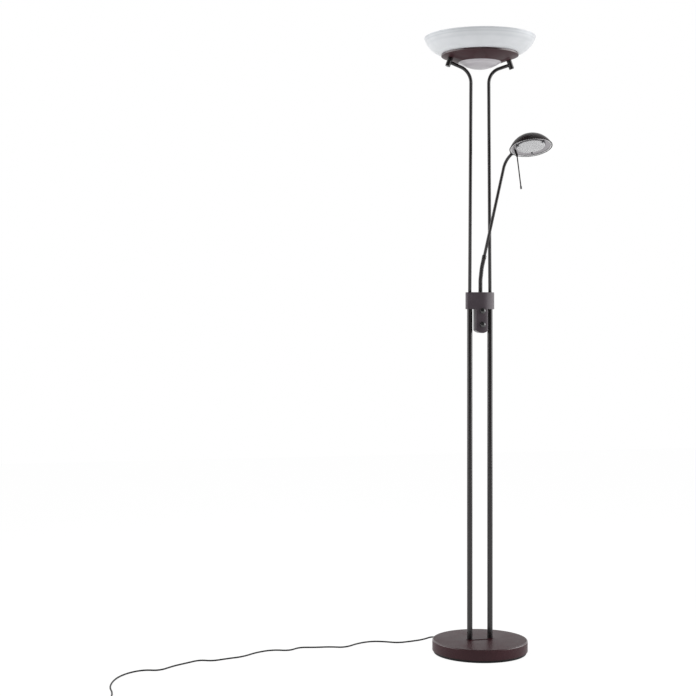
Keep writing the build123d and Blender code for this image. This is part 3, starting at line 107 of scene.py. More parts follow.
HEAD_UP = Vector((0, sin(radians(18.4)), cos(radians(18.4))))
LEVEL_OUT = leaning(-56.2, 90)
HEAD_OUT = (LEVEL_OUT - HEAD_UP * LEVEL_OUT.dot(HEAD_UP)).normalized()
SWIVEL_AXIS = HEAD_OUT * cos(radians(30)) + HEAD_UP * sin(radians(30))
ARM_CORNER = NECK_NOD - ARM_UP * (18.2 / cos(radians(6.2))) + ARM_UP * 336.8
SWIVEL = ARM_CORNER + SWIVEL_AXIS * 28.6
HEAD_CENTRE = SWIVEL + HEAD_OUT * 68.0 - HEAD_UP * 4.0

EXIT_OUT = Vector((cos(radians(121)), sin(radians(121)), 0))
EXIT_UP = Vector((0, 0, 17))
EXIT = EXIT_OUT * BASE_RADIUS + EXIT_UP
RELIEF_LENGTH = 25.6

# ---------------------------------------------------------------- colours and nodes


def linear(hex_colour):
    """Turn an sRGB hex colour into the linear colour that Blender works in."""
    channels = [int(hex_colour[i : i + 2], 16) / 255 for i in (1, 3, 5)]
    parts = [c / 12.92 if c <= 0.04045 else ((c + 0.055) / 1.055) ** 2.4 for c in channels]
    return (*parts, 1.0)


def add_node(tree, kind, inputs=None, **settings):
    """Add a shader node with its settings, and its inputs as values, as hex colours or as
    sockets to link."""
    node = tree.nodes.new("ShaderNode" + kind)
    for name, value in settings.items():
        setattr(node, name, value)
    for key, value in (inputs or {}).items():
        if isinstance(value, bpy.types.NodeSocket):
            tree.links.new(value, node.inputs[key])
        else:
            value = linear(value) if isinstance(value, str) else value
            node.inputs[key].default_value = value
    return node


def emptied_tree(owner):
    """The node tree of a material or a world, with no node in it."""
    owner.use_nodes = True
    owner.node_tree.nodes.clear()
    return owner.node_tree


# scales of patterns, in waves to a metre
LACQUER_DRIFT = 22.0  # 45 mm wide
PLASTIC_CLOUD = 90.0  # 11 mm wide
OPAL_CLOUD = 26.0  # 38 mm wide
ETCHED_GRAIN = 1200.0  # 0.8 mm wide


def start_finish(name):
    """An empty material with the Object coordinates that its patterns follow."""
    material = bpy.data.materials.new(name)
    tree = emptied_tree(material)
    return material, tree, add_node(tree, "TexCoord").outputs["Object"]


def toned(tree, tone, gloss, dark, light, smooth, rough):
    """Colour between two tones, which follows one pattern, and a roughness between two
    values, which follows another."""
    tint = add_node(tree, "Mix", {0: tone, 6: dark, 7: light}, data_type="RGBA")
    gloss = add_node(tree, "MapRange", {0: gloss, 1: 0.3, 2: 0.7, 3: smooth, 4: rough})
    return {"Base Color": tint.outputs[2], "Roughness": gloss.outputs[0]}


def close_finish(tree, surface, height, depth_mm):
    """Principled surface, embossed by a pattern to a depth in millimetres."""
    bump = add_node(tree, "Bump", {"Height": height, "Distance": depth_mm * MM})
    shader = add_node(tree, "BsdfPrincipled", {**surface, "Normal": bump.outputs[0]})
    add_node(tree, "OutputMaterial", {"Surface": shader.outputs[0]})


def stoved_lacquer(name, dark, light, roughness, peel_mm=4.0, shine=0.25, topcoat=0.0):
    """Stoved lacquer on steel, dark or white. It flows out into a soft orange peel that
    frays the reflections, and its colour and gloss drift a little from place to place. A
    topcoat adds a thin clear gloss over a satin coat. The peel is drawn 2.4 or 4 mm wide,
    so that it shows."""
    material, tree, place = start_finish(name)
    drift = add_node(tree, "TexNoise", {"Vector": place, "Scale": LACQUER_DRIFT, "Detail": 3.0})
    drift = drift.outputs[0]
    peel = add_node(tree, "TexNoise", {"Vector": place, "Scale": 1 / (peel_mm * MM)})
    surface = {
        **toned(tree, drift, drift, dark, light, roughness - 0.03, roughness + 0.05),
        "IOR": 1.5,
        "Specular IOR Level": shine,
        "Coat Weight": topcoat,
        "Coat Roughness": 0.13,
    }
    close_finish(tree, surface, peel.outputs[0], 0.004)
    return material


def moulded_plastic(name, dark, light, roughness, grain_mm=0.7, depth_mm=0.004, shine=0.5):
    """Moulded plastic, such as ABS, PVC or nylon: even colour with the fine texture of its
    mould, which softens the gloss. The texture is drawn 0.7 mm wide or more, so that it
    shows."""
    material, tree, place = start_finish(name)
    cloud = add_node(tree, "TexNoise", {"Vector": place, "Scale": PLASTIC_CLOUD}).outputs[0]
    grain = add_node(tree, "TexNoise", {"Vector": place, "Scale": 1 / (grain_mm * MM)})
    grain = grain.outputs[0]
    surface = {
        **toned(tree, cloud, grain, dark, light, roughness - 0.05, roughness + 0.06),
        "IOR": 1.53,
        "Specular IOR Level": shine,
    }
    close_finish(tree, surface, grain, depth_mm)
    return material


def drawn_metal(name, dark, light, roughness):
    """Bare or plated metal, rolled or drawn: fully metallic, with streaks that lengthen its
    highlights, drawn 0.6 mm wide so that they show."""
    material, tree, place = start_finish(name)
    along = add_node(tree, "Mapping", {"Vector": place, "Scale": (1.0, 1.0, 0.1)})
    along = along.outputs[0]
    streaks = add_node(
        tree, "TexNoise", {"Vector": along, "Scale": 1 / (0.6 * MM), "Detail": 3.0}
    ).outputs[0]
    surface = toned(tree, streaks, streaks, dark, light, roughness - 0.05, roughness + 0.07)
    close_finish(tree, {**surface, "Metallic": 1.0}, streaks, 0.003)
    return material


def rough_stock(name, dark, light, roughness, grain_mm, depth_mm):
    """Cast iron, fired ceramic or moulded rubber: matt, with the pits of its mould."""
    material, tree, place = start_finish(name)
    pits = add_node(
        tree, "TexNoise", {"Vector": place, "Scale": 1 / (grain_mm * MM), "Detail": 4.0}
    )
    tint = add_node(tree, "Mix", {0: pits.outputs[0], 6: dark, 7: light}, data_type="RGBA")
    surface = {
        "Base Color": tint.outputs[2],
        "Roughness": roughness,
        "IOR": 1.5,
        "Specular IOR Level": 0.25,
    }
    close_finish(tree, surface, pits.outputs[0], depth_mm)
    return material


def satin_opal_glass(name, body, shade, rim, rim_from, rim_to):
    """Opal glass, spun in a mould and acid-etched. It is milky all through, so light soaks
    in and its shadows are soft. Near the rim, between two heights, faint level bands take a
    rim colour: darker on the bowl, and lighter on the lower glass, where the band is a
    painted highlight. The bands are drawn 6 mm apart so that they show."""
    material, tree, place = start_finish(name)
    height = add_node(tree, "SeparateXYZ", {0: place}).outputs[2]
    cloud = add_node(tree, "TexNoise", {"Vector": place, "Scale": OPAL_CLOUD, "Detail": 3.0})
    etched = add_node(tree, "TexNoise", {"Vector": place, "Scale": ETCHED_GRAIN})
    level = add_node(tree, "CombineXYZ", {2: height})
    bands = add_node(
        tree, "TexNoise", {"Vector": level.outputs[0], "Scale": 1 / (6 * MM), "Detail": 1.0}
    )
    milk = add_node(tree, "MapRange", {0: cloud.outputs[0], 1: 0.3, 2: 0.7, 3: 0.0, 4: 0.35})
    base = add_node(tree, "Mix", {0: milk.outputs[0], 6: body, 7: shade}, data_type="RGBA")
    # between two heights the bands take the rim colour; on the lower glass this lighter band is
    # a painted highlight
    near_rim = add_node(tree, "MapRange", {0: height, 1: rim_from, 2: rim_to, 3: 0.0, 4: 1.0})
    ringed = add_node(tree, "MapRange", {0: bands.outputs[0], 1: 0.42, 2: 0.62, 3: 0.0, 4: 0.5})
    strength = add_node(
        tree, "Math", {0: near_rim.outputs[0], 1: ringed.outputs[0]}, operation="MULTIPLY"
    )
    tint = add_node(
        tree, "Mix", {0: strength.outputs[0], 6: base.outputs[2], 7: rim}, data_type="RGBA"
    )
    surface = {
        "Base Color": tint.outputs[2],
        "Roughness": 0.3,
        "IOR": 1.5,
        "Subsurface Weight": 0.2,
        "Subsurface Radius": (0.005, 0.005, 0.005),
        "Subsurface Scale": 1.0,
    }
    close_finish(tree, surface, etched.outputs[0], 0.003)
    return material


def drawn_quartz(name, clear, tinted):
    """Fused quartz, drawn into a tube: most light goes through it, a faint haze holds the
    rest, and slow ripples from the drawing bend what lies behind."""
    material, tree, place = start_finish(name)
    ripple = add_node(
        tree, "TexNoise", {"Vector": place, "Scale": 1 / (6 * MM), "Detail": 2.0}
    )
    tint = add_node(tree, "Mix", {0: ripple.outputs[0], 6: clear, 7: tinted}, data_type="RGBA")
    surface = {
        "Base Color": tint.outputs[2],
        "Roughness": 0.03,
        "IOR": 1.48,
        "Transmission Weight": 0.7,
    }
    close_finish(tree, surface, ripple.outputs[0], 0.02)
    return material


def make_finishes(colours):
    """Every finish of the lamp, by name."""
    brown = (colours.body_dark, colours.body_light)
    # the poles, arm, lamp shade and hose wear the same dark brown lacquer; these near-black
    # tones darken it, a painted shade
    darkened_tube_tones = (colours.tube_dark, colours.tube_light)
    return {
        "body": stoved_lacquer("satin_lacquered_steel", *brown, 0.5, shine=0.15, topcoat=0.1),
        "edge": stoved_lacquer("lacquer_drawn_thin_on_edge", *brown, 0.24, shine=0.8),
        # darkened copy of the brown lacquer on the poles and arm: painted shade
        "tube": stoved_lacquer("tube_lacquer_darkened_as_painted_shade", *darkened_tube_tones, 0.2, shine=0.65),
        # darkened copy of the brown lacquer on the reading shade: painted shade
        "shade": stoved_lacquer(
            "lamp_shade_lacquer_darkened_as_painted_shade", darkened_tube_tones[0], "#231A1C", 0.32, shine=0.15
        ),
        # the housing wears the same dark brown lacquer as the rest; this lighter, greyer copy
        # of it is a painted sheen
        "box": stoved_lacquer("box_lacquer_lightened_as_painted_sheen", "#3C3439", "#4D454B", 0.3, shine=0.3),
        # darkened copy of the brown lacquer on the gooseneck: painted shade
        "hose": stoved_lacquer("hose_lacquer_darkened_as_painted_shade", darkened_tube_tones[0], "#2E282A", 0.26, 2.4, 0.8),
        "trim": stoved_lacquer("black_lacquered_wire", "#0A0808", "#141111", 0.28),
        # white of the rolled rim inside the reading shade: partly a white inner rim, partly a
        # painted highlight along it
        "white": stoved_lacquer("white_rim_lacquer_with_painted_highlight", "#DEDEDE", "#F2F2F2", 0.35, shine=0.5),
        "knob": moulded_plastic(
            "gloss_black_abs", colours.knob, "#0C0C0D", 0.1, 2.0, 0.001, 0.9
        ),
        "cord": moulded_plastic(
            "black_pvc_sheath", colours.cord, "#191819", 0.45, 1.2, 0.01, 0.2
        ),
        "tie": moulded_plastic("nylon_cable_tie", "#161616", "#2C2C2D", 0.5),
        "board": moulded_plastic("glass_epoxy_board", "#1E4A2A", "#2C6138", 0.4),
        "components": moulded_plastic("phenolic_components", "#1B1B1E", "#313136", 0.5),
        "leads": moulded_plastic("white_silicone_sheath", "#DDDCD6", "#ECEBE6", 0.5),
        "bowl": satin_opal_glass(
            "etched_opal_glass", colours.bowl, "#C0C4C6", "#AEB3B8", 1.772, 1.793
        ),
        # the lower glass's rim colour, lighter than the glass, lies along its top by the ring:
        # a painted highlight
        "lower": satin_opal_glass(
            "grey_opal_glass_with_painted_top_highlight", colours.lower_glass, "#A29EA3", "#D4D2D5", 1.716, 1.726
        ),
        "lens": satin_opal_glass(
            "frosted_lens_glass", "#BFBFC0", "#B4B4B6", "#B4B4B6", 1.4, 1.5
        ),
        "quartz": drawn_quartz("fused_quartz", "#FAFAFC", "#F0F0F4"),
        "reflector": drawn_metal("satin_aluminium", "#8F8C8F", "#B0ADB0", 0.34),
        "clip": drawn_metal("blued_spring_steel", "#2E2E32", "#4A4A50", 0.25),
        "zinc": drawn_metal("zinc_plated_steel", "#9C9EA0", "#C6C8CA", 0.33),
        "nickel": drawn_metal("nickel_plated_brass", "#C9C6BE", "#E2DFD8", 0.16),
        "iron": rough_stock("cast_iron", "#2C2C2E", "#4A4A4C", 0.75, 2.0, 0.15),
        "rubber": rough_stock("moulded_rubber", "#0F0F10", "#1E1E1F", 0.7, 1.0, 0.03),
        "ceramic": rough_stock("unglazed_steatite", "#D8D5CC", "#EBE8E0", 0.6, 0.8, 0.02),
    }


FINISH = {}

# ---------------------------------------------------------------- shapes


def looking_along(origin, z_axis, x_axis):
    """Matrix that stands a shape at a point, its Z along one direction, its X near another."""
    z_axis = Vector(z_axis).normalized()
    x_axis = Vector(x_axis)
    x_axis = (x_axis - z_axis * x_axis.dot(z_axis)).normalized()
    matrix = Matrix((x_axis, z_axis.cross(x_axis), z_axis)).transposed().to_4x4()
    matrix.translation = Vector(origin)
    return matrix


HEAD = looking_along(HEAD_CENTRE, HEAD_UP, HEAD_OUT)


class Outline:
    """A chain of edges in the X-Z plane, drawn with straight runs and spun arcs."""

    def __init__(self, *points):
        self.mesh = bmesh.new()
        self.first = self.last = self.mesh.verts.new((points[0][0], 0, points[0][1]))
        self.to(*points[1:])

    def to(self, *points):
        """Straight runs to the given points."""
        for x, z in points:
            point = self.mesh.verts.new((x, 0, z))
            self.mesh.edges.new((self.last, point))
            self.last = point
        return self

    def arc(self, end, centre, steps=12):
        """The shorter arc about a centre, ending in the direction of a point."""
        start = self.last.co
        turn = atan2(end[0] - centre[0], end[1] - centre[1])
        turn -= atan2(start.x - centre[0], start.z - centre[1])
        turn = (turn + pi) % (2 * pi) - pi
        spun = bmesh.ops.spin(
            self.mesh,
            geom=[self.last],
            cent=(centre[0], 0, centre[1]),
            axis=(0, 1, 0),
            angle=turn,
            steps=steps,
        )
        self.last = next(g for g in spun["geom_last"] if isinstance(g, bmesh.types.BMVert))
        return self

    def close(self):
        """Join the end to the start."""
        self.mesh.edges.new((self.last, self.first))
        return self

    def turned(self, steps, axis=(0, 0, 1)):
        """The outline spun fully round the Z axis, or another."""
        mesh = self.mesh
        bmesh.ops.spin(
            mesh,
            geom=mesh.verts[:] + mesh.edges[:],
            cent=(0, 0, 0),
            axis=axis,
            angle=2 * pi,
            steps=steps,
            use_merge=True,
        )
        bmesh.ops.remove_doubles(mesh, verts=mesh.verts, dist=1e-4)
        loose = [edge for edge in mesh.edges if not edge.link_faces]
        bmesh.ops.delete(mesh, geom=loose, context="EDGES")
        bmesh.ops.recalc_face_normals(mesh, faces=mesh.faces)
        return mesh

    def raised(self, low, high):
        """The closed outline laid in the X-Y plane and drawn up from one height to another."""
        mesh = self.mesh
        bmesh.ops.rotate(mesh, verts=mesh.verts, matrix=Matrix.Rotation(-pi / 2, 3, "X"))
        bmesh.ops.translate(mesh, verts=mesh.verts, vec=(0, 0, low))
        face = bmesh.ops.contextual_create(mesh, geom=mesh.edges[:])["faces"]
        top = bmesh.ops.extrude_face_region(mesh, geom=face, use_keep_orig=True)["geom"]
        moved = [g for g in top if isinstance(g, bmesh.types.BMVert)]
        bmesh.ops.translate(mesh, verts=moved, vec=(0, 0, high - low))
        bmesh.ops.recalc_face_normals(mesh, faces=mesh.faces)
        return mesh


def soften(mesh, width, segments=3, least=40, where=None):
    """Round the edges that turn by more than an angle, or those that a test picks."""
    edges = [
        edge
        for edge in mesh.edges
        if len(edge.link_faces) == 2
        and edge.calc_face_angle(0) > radians(least)
        and (where is None or where((edge.verts[0].co + edge.verts[1].co) / 2))
    ]
    bmesh.ops.bevel(
        mesh,
        geom=edges,
        offset=width,
        offset_type="OFFSET",
        segments=segments,
        profile=0.5,
        affect="EDGES",
        material=-1,
        clamp_overlap=True,
    )
    return mesh


def bent_bar(points, radius, bend):
    """A round bar through points, extruded along its runs and spun round its bends."""
    points = [Vector(point) for point in points]
    mesh = bmesh.new()
    matrix = looking_along(points[0], points[1] - points[0], (0.3, 1, 0.2))
    bmesh.ops.create_circle(mesh, segments=44, radius=radius, matrix=matrix)
    tip, here = mesh.edges[:], points[0]
    for index, corner in enumerate(points[1:], 1):
        inward = (corner - points[index - 1]).normalized()
        stop = corner
        if index < len(points) - 1:
            outward = (points[index + 1] - corner).normalized()
            turn = inward.angle(outward)
            stop = corner - inward * (bend * tan(turn / 2))
        grown = bmesh.ops.extrude_edge_only(mesh, edges=tip)["geom"]
        moved = {g for g in grown if isinstance(g, bmesh.types.BMVert)}
        bmesh.ops.translate(mesh, verts=list(moved), vec=stop - here)
        tip = [g for g in grown if isinstance(g, bmesh.types.BMEdge)]
        tip = [edge for edge in tip if moved.issuperset(edge.verts)]
        here = stop
        if index < len(points) - 1:
            axis = inward.cross(outward).normalized()
            centre = stop + axis.cross(inward) * bend
            spun = bmesh.ops.spin(mesh, geom=tip, cent=centre, axis=axis, angle=turn, steps=20)
            tip = [g for g in spun["geom_last"] if isinstance(g, bmesh.types.BMEdge)]
            here = corner + outward * (bend * tan(turn / 2))
    rims = [edge for edge in mesh.edges if edge.is_boundary]
    bmesh.ops.holes_fill(mesh, edges=rims)
    bmesh.ops.recalc_face_normals(mesh, faces=mesh.faces)
    return mesh


def join_into(mesh, other):
    """Bring another shape into a mesh."""
    data = bpy.data.meshes.new("joined")
    other.to_mesh(data)
    other.free()
    mesh.from_mesh(data)
    bpy.data.meshes.remove(data)


def add_piece(name, mesh, finish, slot, body, *nodes, place=None, scale=MM, sharp=32):
    """Turn a shape into a piece that rides on a body and stands for CAD nodes."""
    if place:
        bmesh.ops.transform(mesh, matrix=place, verts=mesh.verts)
    bmesh.ops.scale(mesh, verts=mesh.verts, vec=(scale, scale, scale))
    for face in mesh.faces:
        face.smooth = True
    for edge in mesh.edges:
        edge.smooth = len(edge.link_faces) == 2 and edge.calc_face_angle(0) < radians(sharp)
    data = bpy.data.meshes.new(name)
    mesh.to_mesh(data)
    mesh.free()
    data.materials.append(FINISH[finish])
    piece = bpy.data.objects.new(name, data)
    bpy.context.scene.collection.objects.link(piece)
    if body:
        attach(piece, body)
    if nodes:
        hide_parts(*nodes)
    return piece


def smoothed(node, finish, slot, body):
    """A merged, smoothly shaded copy of a CAD node, which it stands for."""
    mesh = bmesh.new()
    mesh.from_mesh(NODES[node].data)
    bmesh.ops.remove_doubles(mesh, verts=mesh.verts, dist=2e-6)
    bmesh.ops.dissolve_degenerate(mesh, edges=mesh.edges, dist=1e-6)
    return add_piece(node + "_dressed", mesh, finish, slot, body, node, scale=1, sharp=28)


def paint_edge(piece, radius, height):
    """Give the faces outside a radius and above a height, in millimetres, the finish of
    an edge, where the lacquer draws thin and shines more."""
    piece.data.materials.append(FINISH["edge"])
    for face in piece.data.polygons:
        if face.center.xy.length > radius * MM and face.center.z > height * MM:
            face.material_index = 1


def paint(finish, *names):
    """Give CAD nodes that keep their own shape a finish."""
    for name in names:
        data = NODES[name].data
        data.materials.clear()
        data.materials.append(FINISH[finish])


# ---------------------------------------------------------------- settings


def colour_setting(name, description, hex_colour):
    """A colour that the user may change."""
    return FloatVectorProperty(
        name=name,
        description=description,
        default=linear(hex_colour),
        subtype="COLOR",
        size=4,
        min=0,
        max=1,
    )


def length_setting(name, description, millimetres):
    """A length that the user may change."""
    return FloatProperty(
        name=name,
        description=description,
        default=millimetres * MM,
        unit="LENGTH",
        min=0,
        precision=4,
    )


class TorchiereColours(PropertyGroup):
    """Colours of the lamp's finishes."""

    body_dark: colour_setting("Lacquer, dark", "Darker tone of the lacquer", "#2C161A")
    body_light: colour_setting("Lacquer, light", "Lighter tone of the lacquer", "#3B1F24")
    # the tube tones darken the brown lacquer, a painted shade on the poles, arm, reading shade
    # and hose
    tube_dark: colour_setting("Tubes, dark", "Darker tone of the poles and arm", "#0E0A0B")
    tube_light: colour_setting("Tubes, light", "Lighter tone of the poles and arm", "#191314")
    bowl: colour_setting("Bowl", "Opal glass of the uplight bowl", "#D4D6D9")
    lower_glass: colour_setting("Lower glass", "Grey opal glass below the ring", "#B3AFB3")
    knob: colour_setting("Knobs", "Plastic of the dimmer knobs", "#050506")
    cord: colour_setting("Cord", "Sheath of the mains cord", "#0A0A0A")


class TorchiereSizes(PropertyGroup):
    """Sizes of the lamp's round parts."""

    base: length_setting("Base radius", "Radius of the weighted base", BASE_RADIUS)
    base_edge: length_setting("Base edge", "Rounding of the base's top edge", 4.0)
    pole: length_setting("Pole radius", "Radius of the two lower poles", 8.0)
    upper_pole: length_setting("Upper pole radius", "Radius of the two upper poles", 5.0)
    arm: length_setting("Arm radius", "Radius of the reading light's arm", 4.5)
    rib: length_setting("Rib pitch", "Distance between the ribs of the gooseneck", 2.44)
    cord: length_setting("Cord diameter", "Diameter of the mains cord", 4.5)
    knob: length_setting("Knob radius", "Radius of the dimmer knobs", 7.75)


# ---------------------------------------------------------------- stage, cord and pieces

AHEAD = (0.24, 0.97, 0)  # where the camera looks, seen from above
RIGHT = (0.97, -0.24, 0)


def set_camera(scene):
    """The camera, at the height and the angle that the lamp is seen from."""
    camera = bpy.data.cameras.new("camera")
    camera.sensor_width = 36
    camera.lens = 72.76
    camera.shift_y = -0.0359
    camera.clip_end = 50
    eye = bpy.data.objects.new("camera", camera)
    eye.location = (-1.3716, -3.9046, 0.964)
    eye.rotation_euler = (radians(90), 0, radians(-14))
    scene.collection.objects.link(eye)
    scene.camera = eye
    scene.view_settings.view_transform = "Standard"


def surround(scene):
    """White surroundings. Gloss shows them white behind the lamp, dimmer before it, and
    with a tall softbox on either side."""
    scene.world = bpy.data.worlds.new("white_studio")
    tree = emptied_tree(scene.world)
    rays = add_node(tree, "LightPath").outputs
    direct = {0: rays["Is Camera Ray"], 1: rays["Is Transmission Ray"]}
    seen = add_node(tree, "Math", direct, operation="MAXIMUM")
    plain = add_node(tree, "MapRange", {0: seen.outputs[0], 1: 0, 2: 1, 3: 0.55, 4: 1})
    ray = add_node(tree, "TexCoord").outputs["Generated"]
    ahead, side = (
        add_node(tree, "VectorMath", {0: ray, 1: axis}, operation="DOT_PRODUCT").outputs[1]
        for axis in (AHEAD, RIGHT)
    )
    room = add_node(tree, "MapRange", {0: ahead, 1: -0.3, 2: 0.5, 3: 0.18, 4: 1})
    mirrored = room.outputs[0]
    for near, far, glare in ((-0.76, -0.92, 2.2), (0.76, 0.92, 3.6)):
        box = add_node(tree, "MapRange", {0: side, 1: near, 2: far, 3: 0, 4: glare})
        mirrored = add_node(tree, "Math", {0: mirrored, 1: box.outputs[0]}).outputs[0]
    level = add_node(
        tree, "Mix", {0: rays["Is Glossy Ray"], 2: plain.outputs[0], 3: mirrored}
    )
    sky = add_node(tree, "Background", {"Color": "#FFFFFF", "Strength": level.outputs[0]})
    add_node(tree, "OutputWorld", {0: sky.outputs[0]})


def place_lamps(scene):
    """Three softboxes. Gloss doesn't show them, since the surroundings already give it one
    on either side."""
    for name, place, target, power, width, height in (
        ("left_softbox", (-2.27, 0.38, 1.2), (0, 0, 1.2), 26, 1.2, 2.3),
        ("right_softbox", (2.0, -1.13, 1.2), (0, 0, 1.2), 28, 1.2, 2.3),
        ("overhead_softbox", (-0.3, -0.4, 3.4), (0, 0, 1.0), 17, 1.6, 1.6),
    ):
        light = bpy.data.lights.new(name, "AREA")
        light.shape = "RECTANGLE"
        light.energy = power
        light.size = width
        light.size_y = height
        lamp = bpy.data.objects.new(name, light)
        lamp.location = place
        aim = Vector(target) - Vector(place)
        lamp.rotation_euler = aim.to_track_quat("-Z", "Y").to_euler()
        lamp.visible_camera = False
        lamp.visible_glossy = False
        scene.collection.objects.link(lamp)


def lay_floor(scene):
    """White paper floor. It keeps the lamp's shadow, and a glow that only the camera, gloss
    and glass see brings it up to the white of the surroundings."""
    mesh = bmesh.new()
    bmesh.ops.create_grid(mesh, x_segments=4, y_segments=4, size=6)
    data = bpy.data.meshes.new("floor")
    mesh.to_mesh(data)
    mesh.free()
    floor = bpy.data.objects.new("floor", data)
    scene.collection.objects.link(floor)
    material = bpy.data.materials.new("white_floor")
    tree = emptied_tree(material)
    rays = add_node(tree, "LightPath").outputs
    paper = add_node(tree, "BsdfDiffuse", {"Color": "#FFFFFF"})
    glow = add_node(tree, "Emission", {"Color": "#FFFFFF", "Strength": 1.05})
    seen = rays["Is Camera Ray"]
    for kind in ("Is Glossy Ray", "Is Transmission Ray"):
        seen = add_node(tree, "Math", {0: seen, 1: rays[kind]}, operation="MAXIMUM").outputs[0]
    share = add_node(tree, "MapRange", {0: seen, 1: 0, 2: 1, 3: 0, 4: 0.88})
    mix = add_node(
        tree, "MixShader", {0: share.outputs[0], 1: paper.outputs[0], 2: glow.outputs[0]}
    )
    add_node(tree, "OutputMaterial", {0: mix.outputs[0]})
    data.materials.append(material)


class TORCHIERE_OT_stage(Operator):
    """Set up the camera, the lamps, the white surroundings and the floor"""

    bl_idname = "torchiere.stage"
    bl_label = "Stage"

    def execute(self, context):
        scene = context.scene
        FINISH.update(make_finishes(scene.torchiere_colours))
        set_camera(scene)
        surround(scene)
        place_lamps(scene)
        lay_floor(scene)
        return {"FINISHED"}


CORD_FLOOR = 2.25
CORD_COIL = 3.3
CORD_STEP = 4.5
CORD_RUN = (
    (-158, 174), (-203, 164), (-238, 190), (-274, 203), (-320, 188), (-371, 143),
    (-412, 163), (-458, 166), (-503, 179), (-539, 143), (-584, 166), (-636, 147),
    (-684, 103), (-732, 91), (-778, 73), (-811, 94), (-850, 68), (-892, 42),
    (-936, -2), (-976, 17), (-1020, -4), (-1054, -46), (-1074, -98), (-1084, -152),
    (-1081, -205),
)
CORD_ROUTE = [
    (-95.7, 159.3, 17.0),
    (-121, 171, 6.2),
    *((x, y, CORD_FLOOR) for x, y in CORD_RUN),
    (-1088, -256, CORD_COIL),
    (-1087, -290, CORD_COIL),
]
COIL_RADIUS = 28.0
COIL_PITCH = 5.2
COIL_RISE = 5.1
COIL_TURNS = 3.25
TURNS_IN = 1.5
COIL_TAIL = 24.0
PLUG_Z = 7.2


def coil_places():
    """Points of the put-away coil and its tail, up to the plug's mouth."""
    before, last = (Vector(point) for point in CORD_ROUTE[-2:])
    arrival = Vector((last.x - before.x, last.y - before.y, 0)).normalized()
    entry = last + arrival * CORD_STEP
    middle = entry + Vector((arrival.y, -arrival.x, 0)) * COIL_RADIUS
    first = atan2(arrival.y, arrival.x) + pi / 2
    places = []
    steps = 14
    reversal = TURNS_IN + 0.25
    for step in range(round(COIL_TURNS * steps) + 1):
        turns = step / steps
        angle = first - 2 * pi * turns
        radius = COIL_RADIUS - COIL_PITCH * (reversal - abs(turns - reversal))
        share = min(max((turns - TURNS_IN) * 2, 0), 1)
        rise = COIL_RISE * share**2 * (3 - 2 * share)
        # a spline of order 3 cuts inside its control points, so these stand a little out
        radius /= cos(pi / steps) ** 1.3
        flat = middle + Vector((cos(angle), sin(angle), 0)) * radius
        places.append(Vector((flat.x, flat.y, CORD_COIL + rise)))
    angle = first - 2 * pi * COIL_TURNS
    heading = Vector((sin(angle), -cos(angle), 0))
    radius = COIL_RADIUS - COIL_PITCH * (2 * reversal - COIL_TURNS)
    end = middle + Vector((cos(angle), sin(angle), 0)) * radius
    tail = Vector((end.x, end.y, PLUG_Z)) + heading * COIL_TAIL
    return places + [tail, tail + heading * CORD_STEP]


class TORCHIERE_OT_cord(Operator):
    """Lay the mains cord along the floor, with its coil, tie and plug"""

    bl_idname = "torchiere.cord"
    bl_label = "Mains cord"

    def execute(self, context):
        sizes = context.scene.torchiere_sizes
        start = EXIT_OUT * (BASE_RADIUS + RELIEF_LENGTH) + EXIT_UP
        route = [start] + [Vector(point) for point in CORD_ROUTE] + coil_places()
        curve = bpy.data.curves.new("mains_cord", "CURVE")
        curve.dimensions = "3D"
        curve.bevel_depth = sizes.cord / 2
        curve.bevel_resolution = 6
        curve.resolution_u = 10
        spline = curve.splines.new("NURBS")
        spline.points.add(len(route) - 1)
        for point, place in zip(spline.points, route):
            point.co = (*(place * MM), 1)
        spline.order_u = 3
        spline.use_endpoint_u = True
        curve.use_fill_caps = True
        curve.materials.append(FINISH["cord"])
        cord = bpy.data.objects.new("mains_cord", curve)
        context.scene.collection.objects.link(cord)
        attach(cord, "stand")
        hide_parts("cord_run", "cord_coil")

        plug = smoothed("plug", "cord", "cord_sheath", "stand")
        pins = smoothed("plug_pins", "nickel", "plated_brass", "stand")
        tie = smoothed("cord_tie", "tie", "tie_plastic", "stand")

        relief = Outline((0, -2.6)).to((6, -2.6), (6, 0), (5.6, 0.2), (5.5, 1.2))
        ribs, tip = 7, RELIEF_LENGTH - 1.6
        for rib in range(ribs):
            low = 3 + rib * (tip - 4) / ribs
            wide = 5.5 - 2.3 * low / tip
            relief.to((wide, low), (wide - 0.9, low + 0.25), (wide - 0.9, low + 1.3))
            relief.to((wide - 0.12, low + 1.55))
        relief.to((3.2, tip - 0.4), (3.0, RELIEF_LENGTH - 0.4), (2.7, RELIEF_LENGTH))
        mesh = relief.to((0, RELIEF_LENGTH)).turned(40)
        add_piece(
            "ribbed_strain_relief",
            mesh,
            "rubber",
            "foot_rubber",
            "stand",
            "strain_relief",
            place=looking_along(EXIT, EXIT_OUT, (0, 0, 1)),
        )
        return {"FINISHED"}


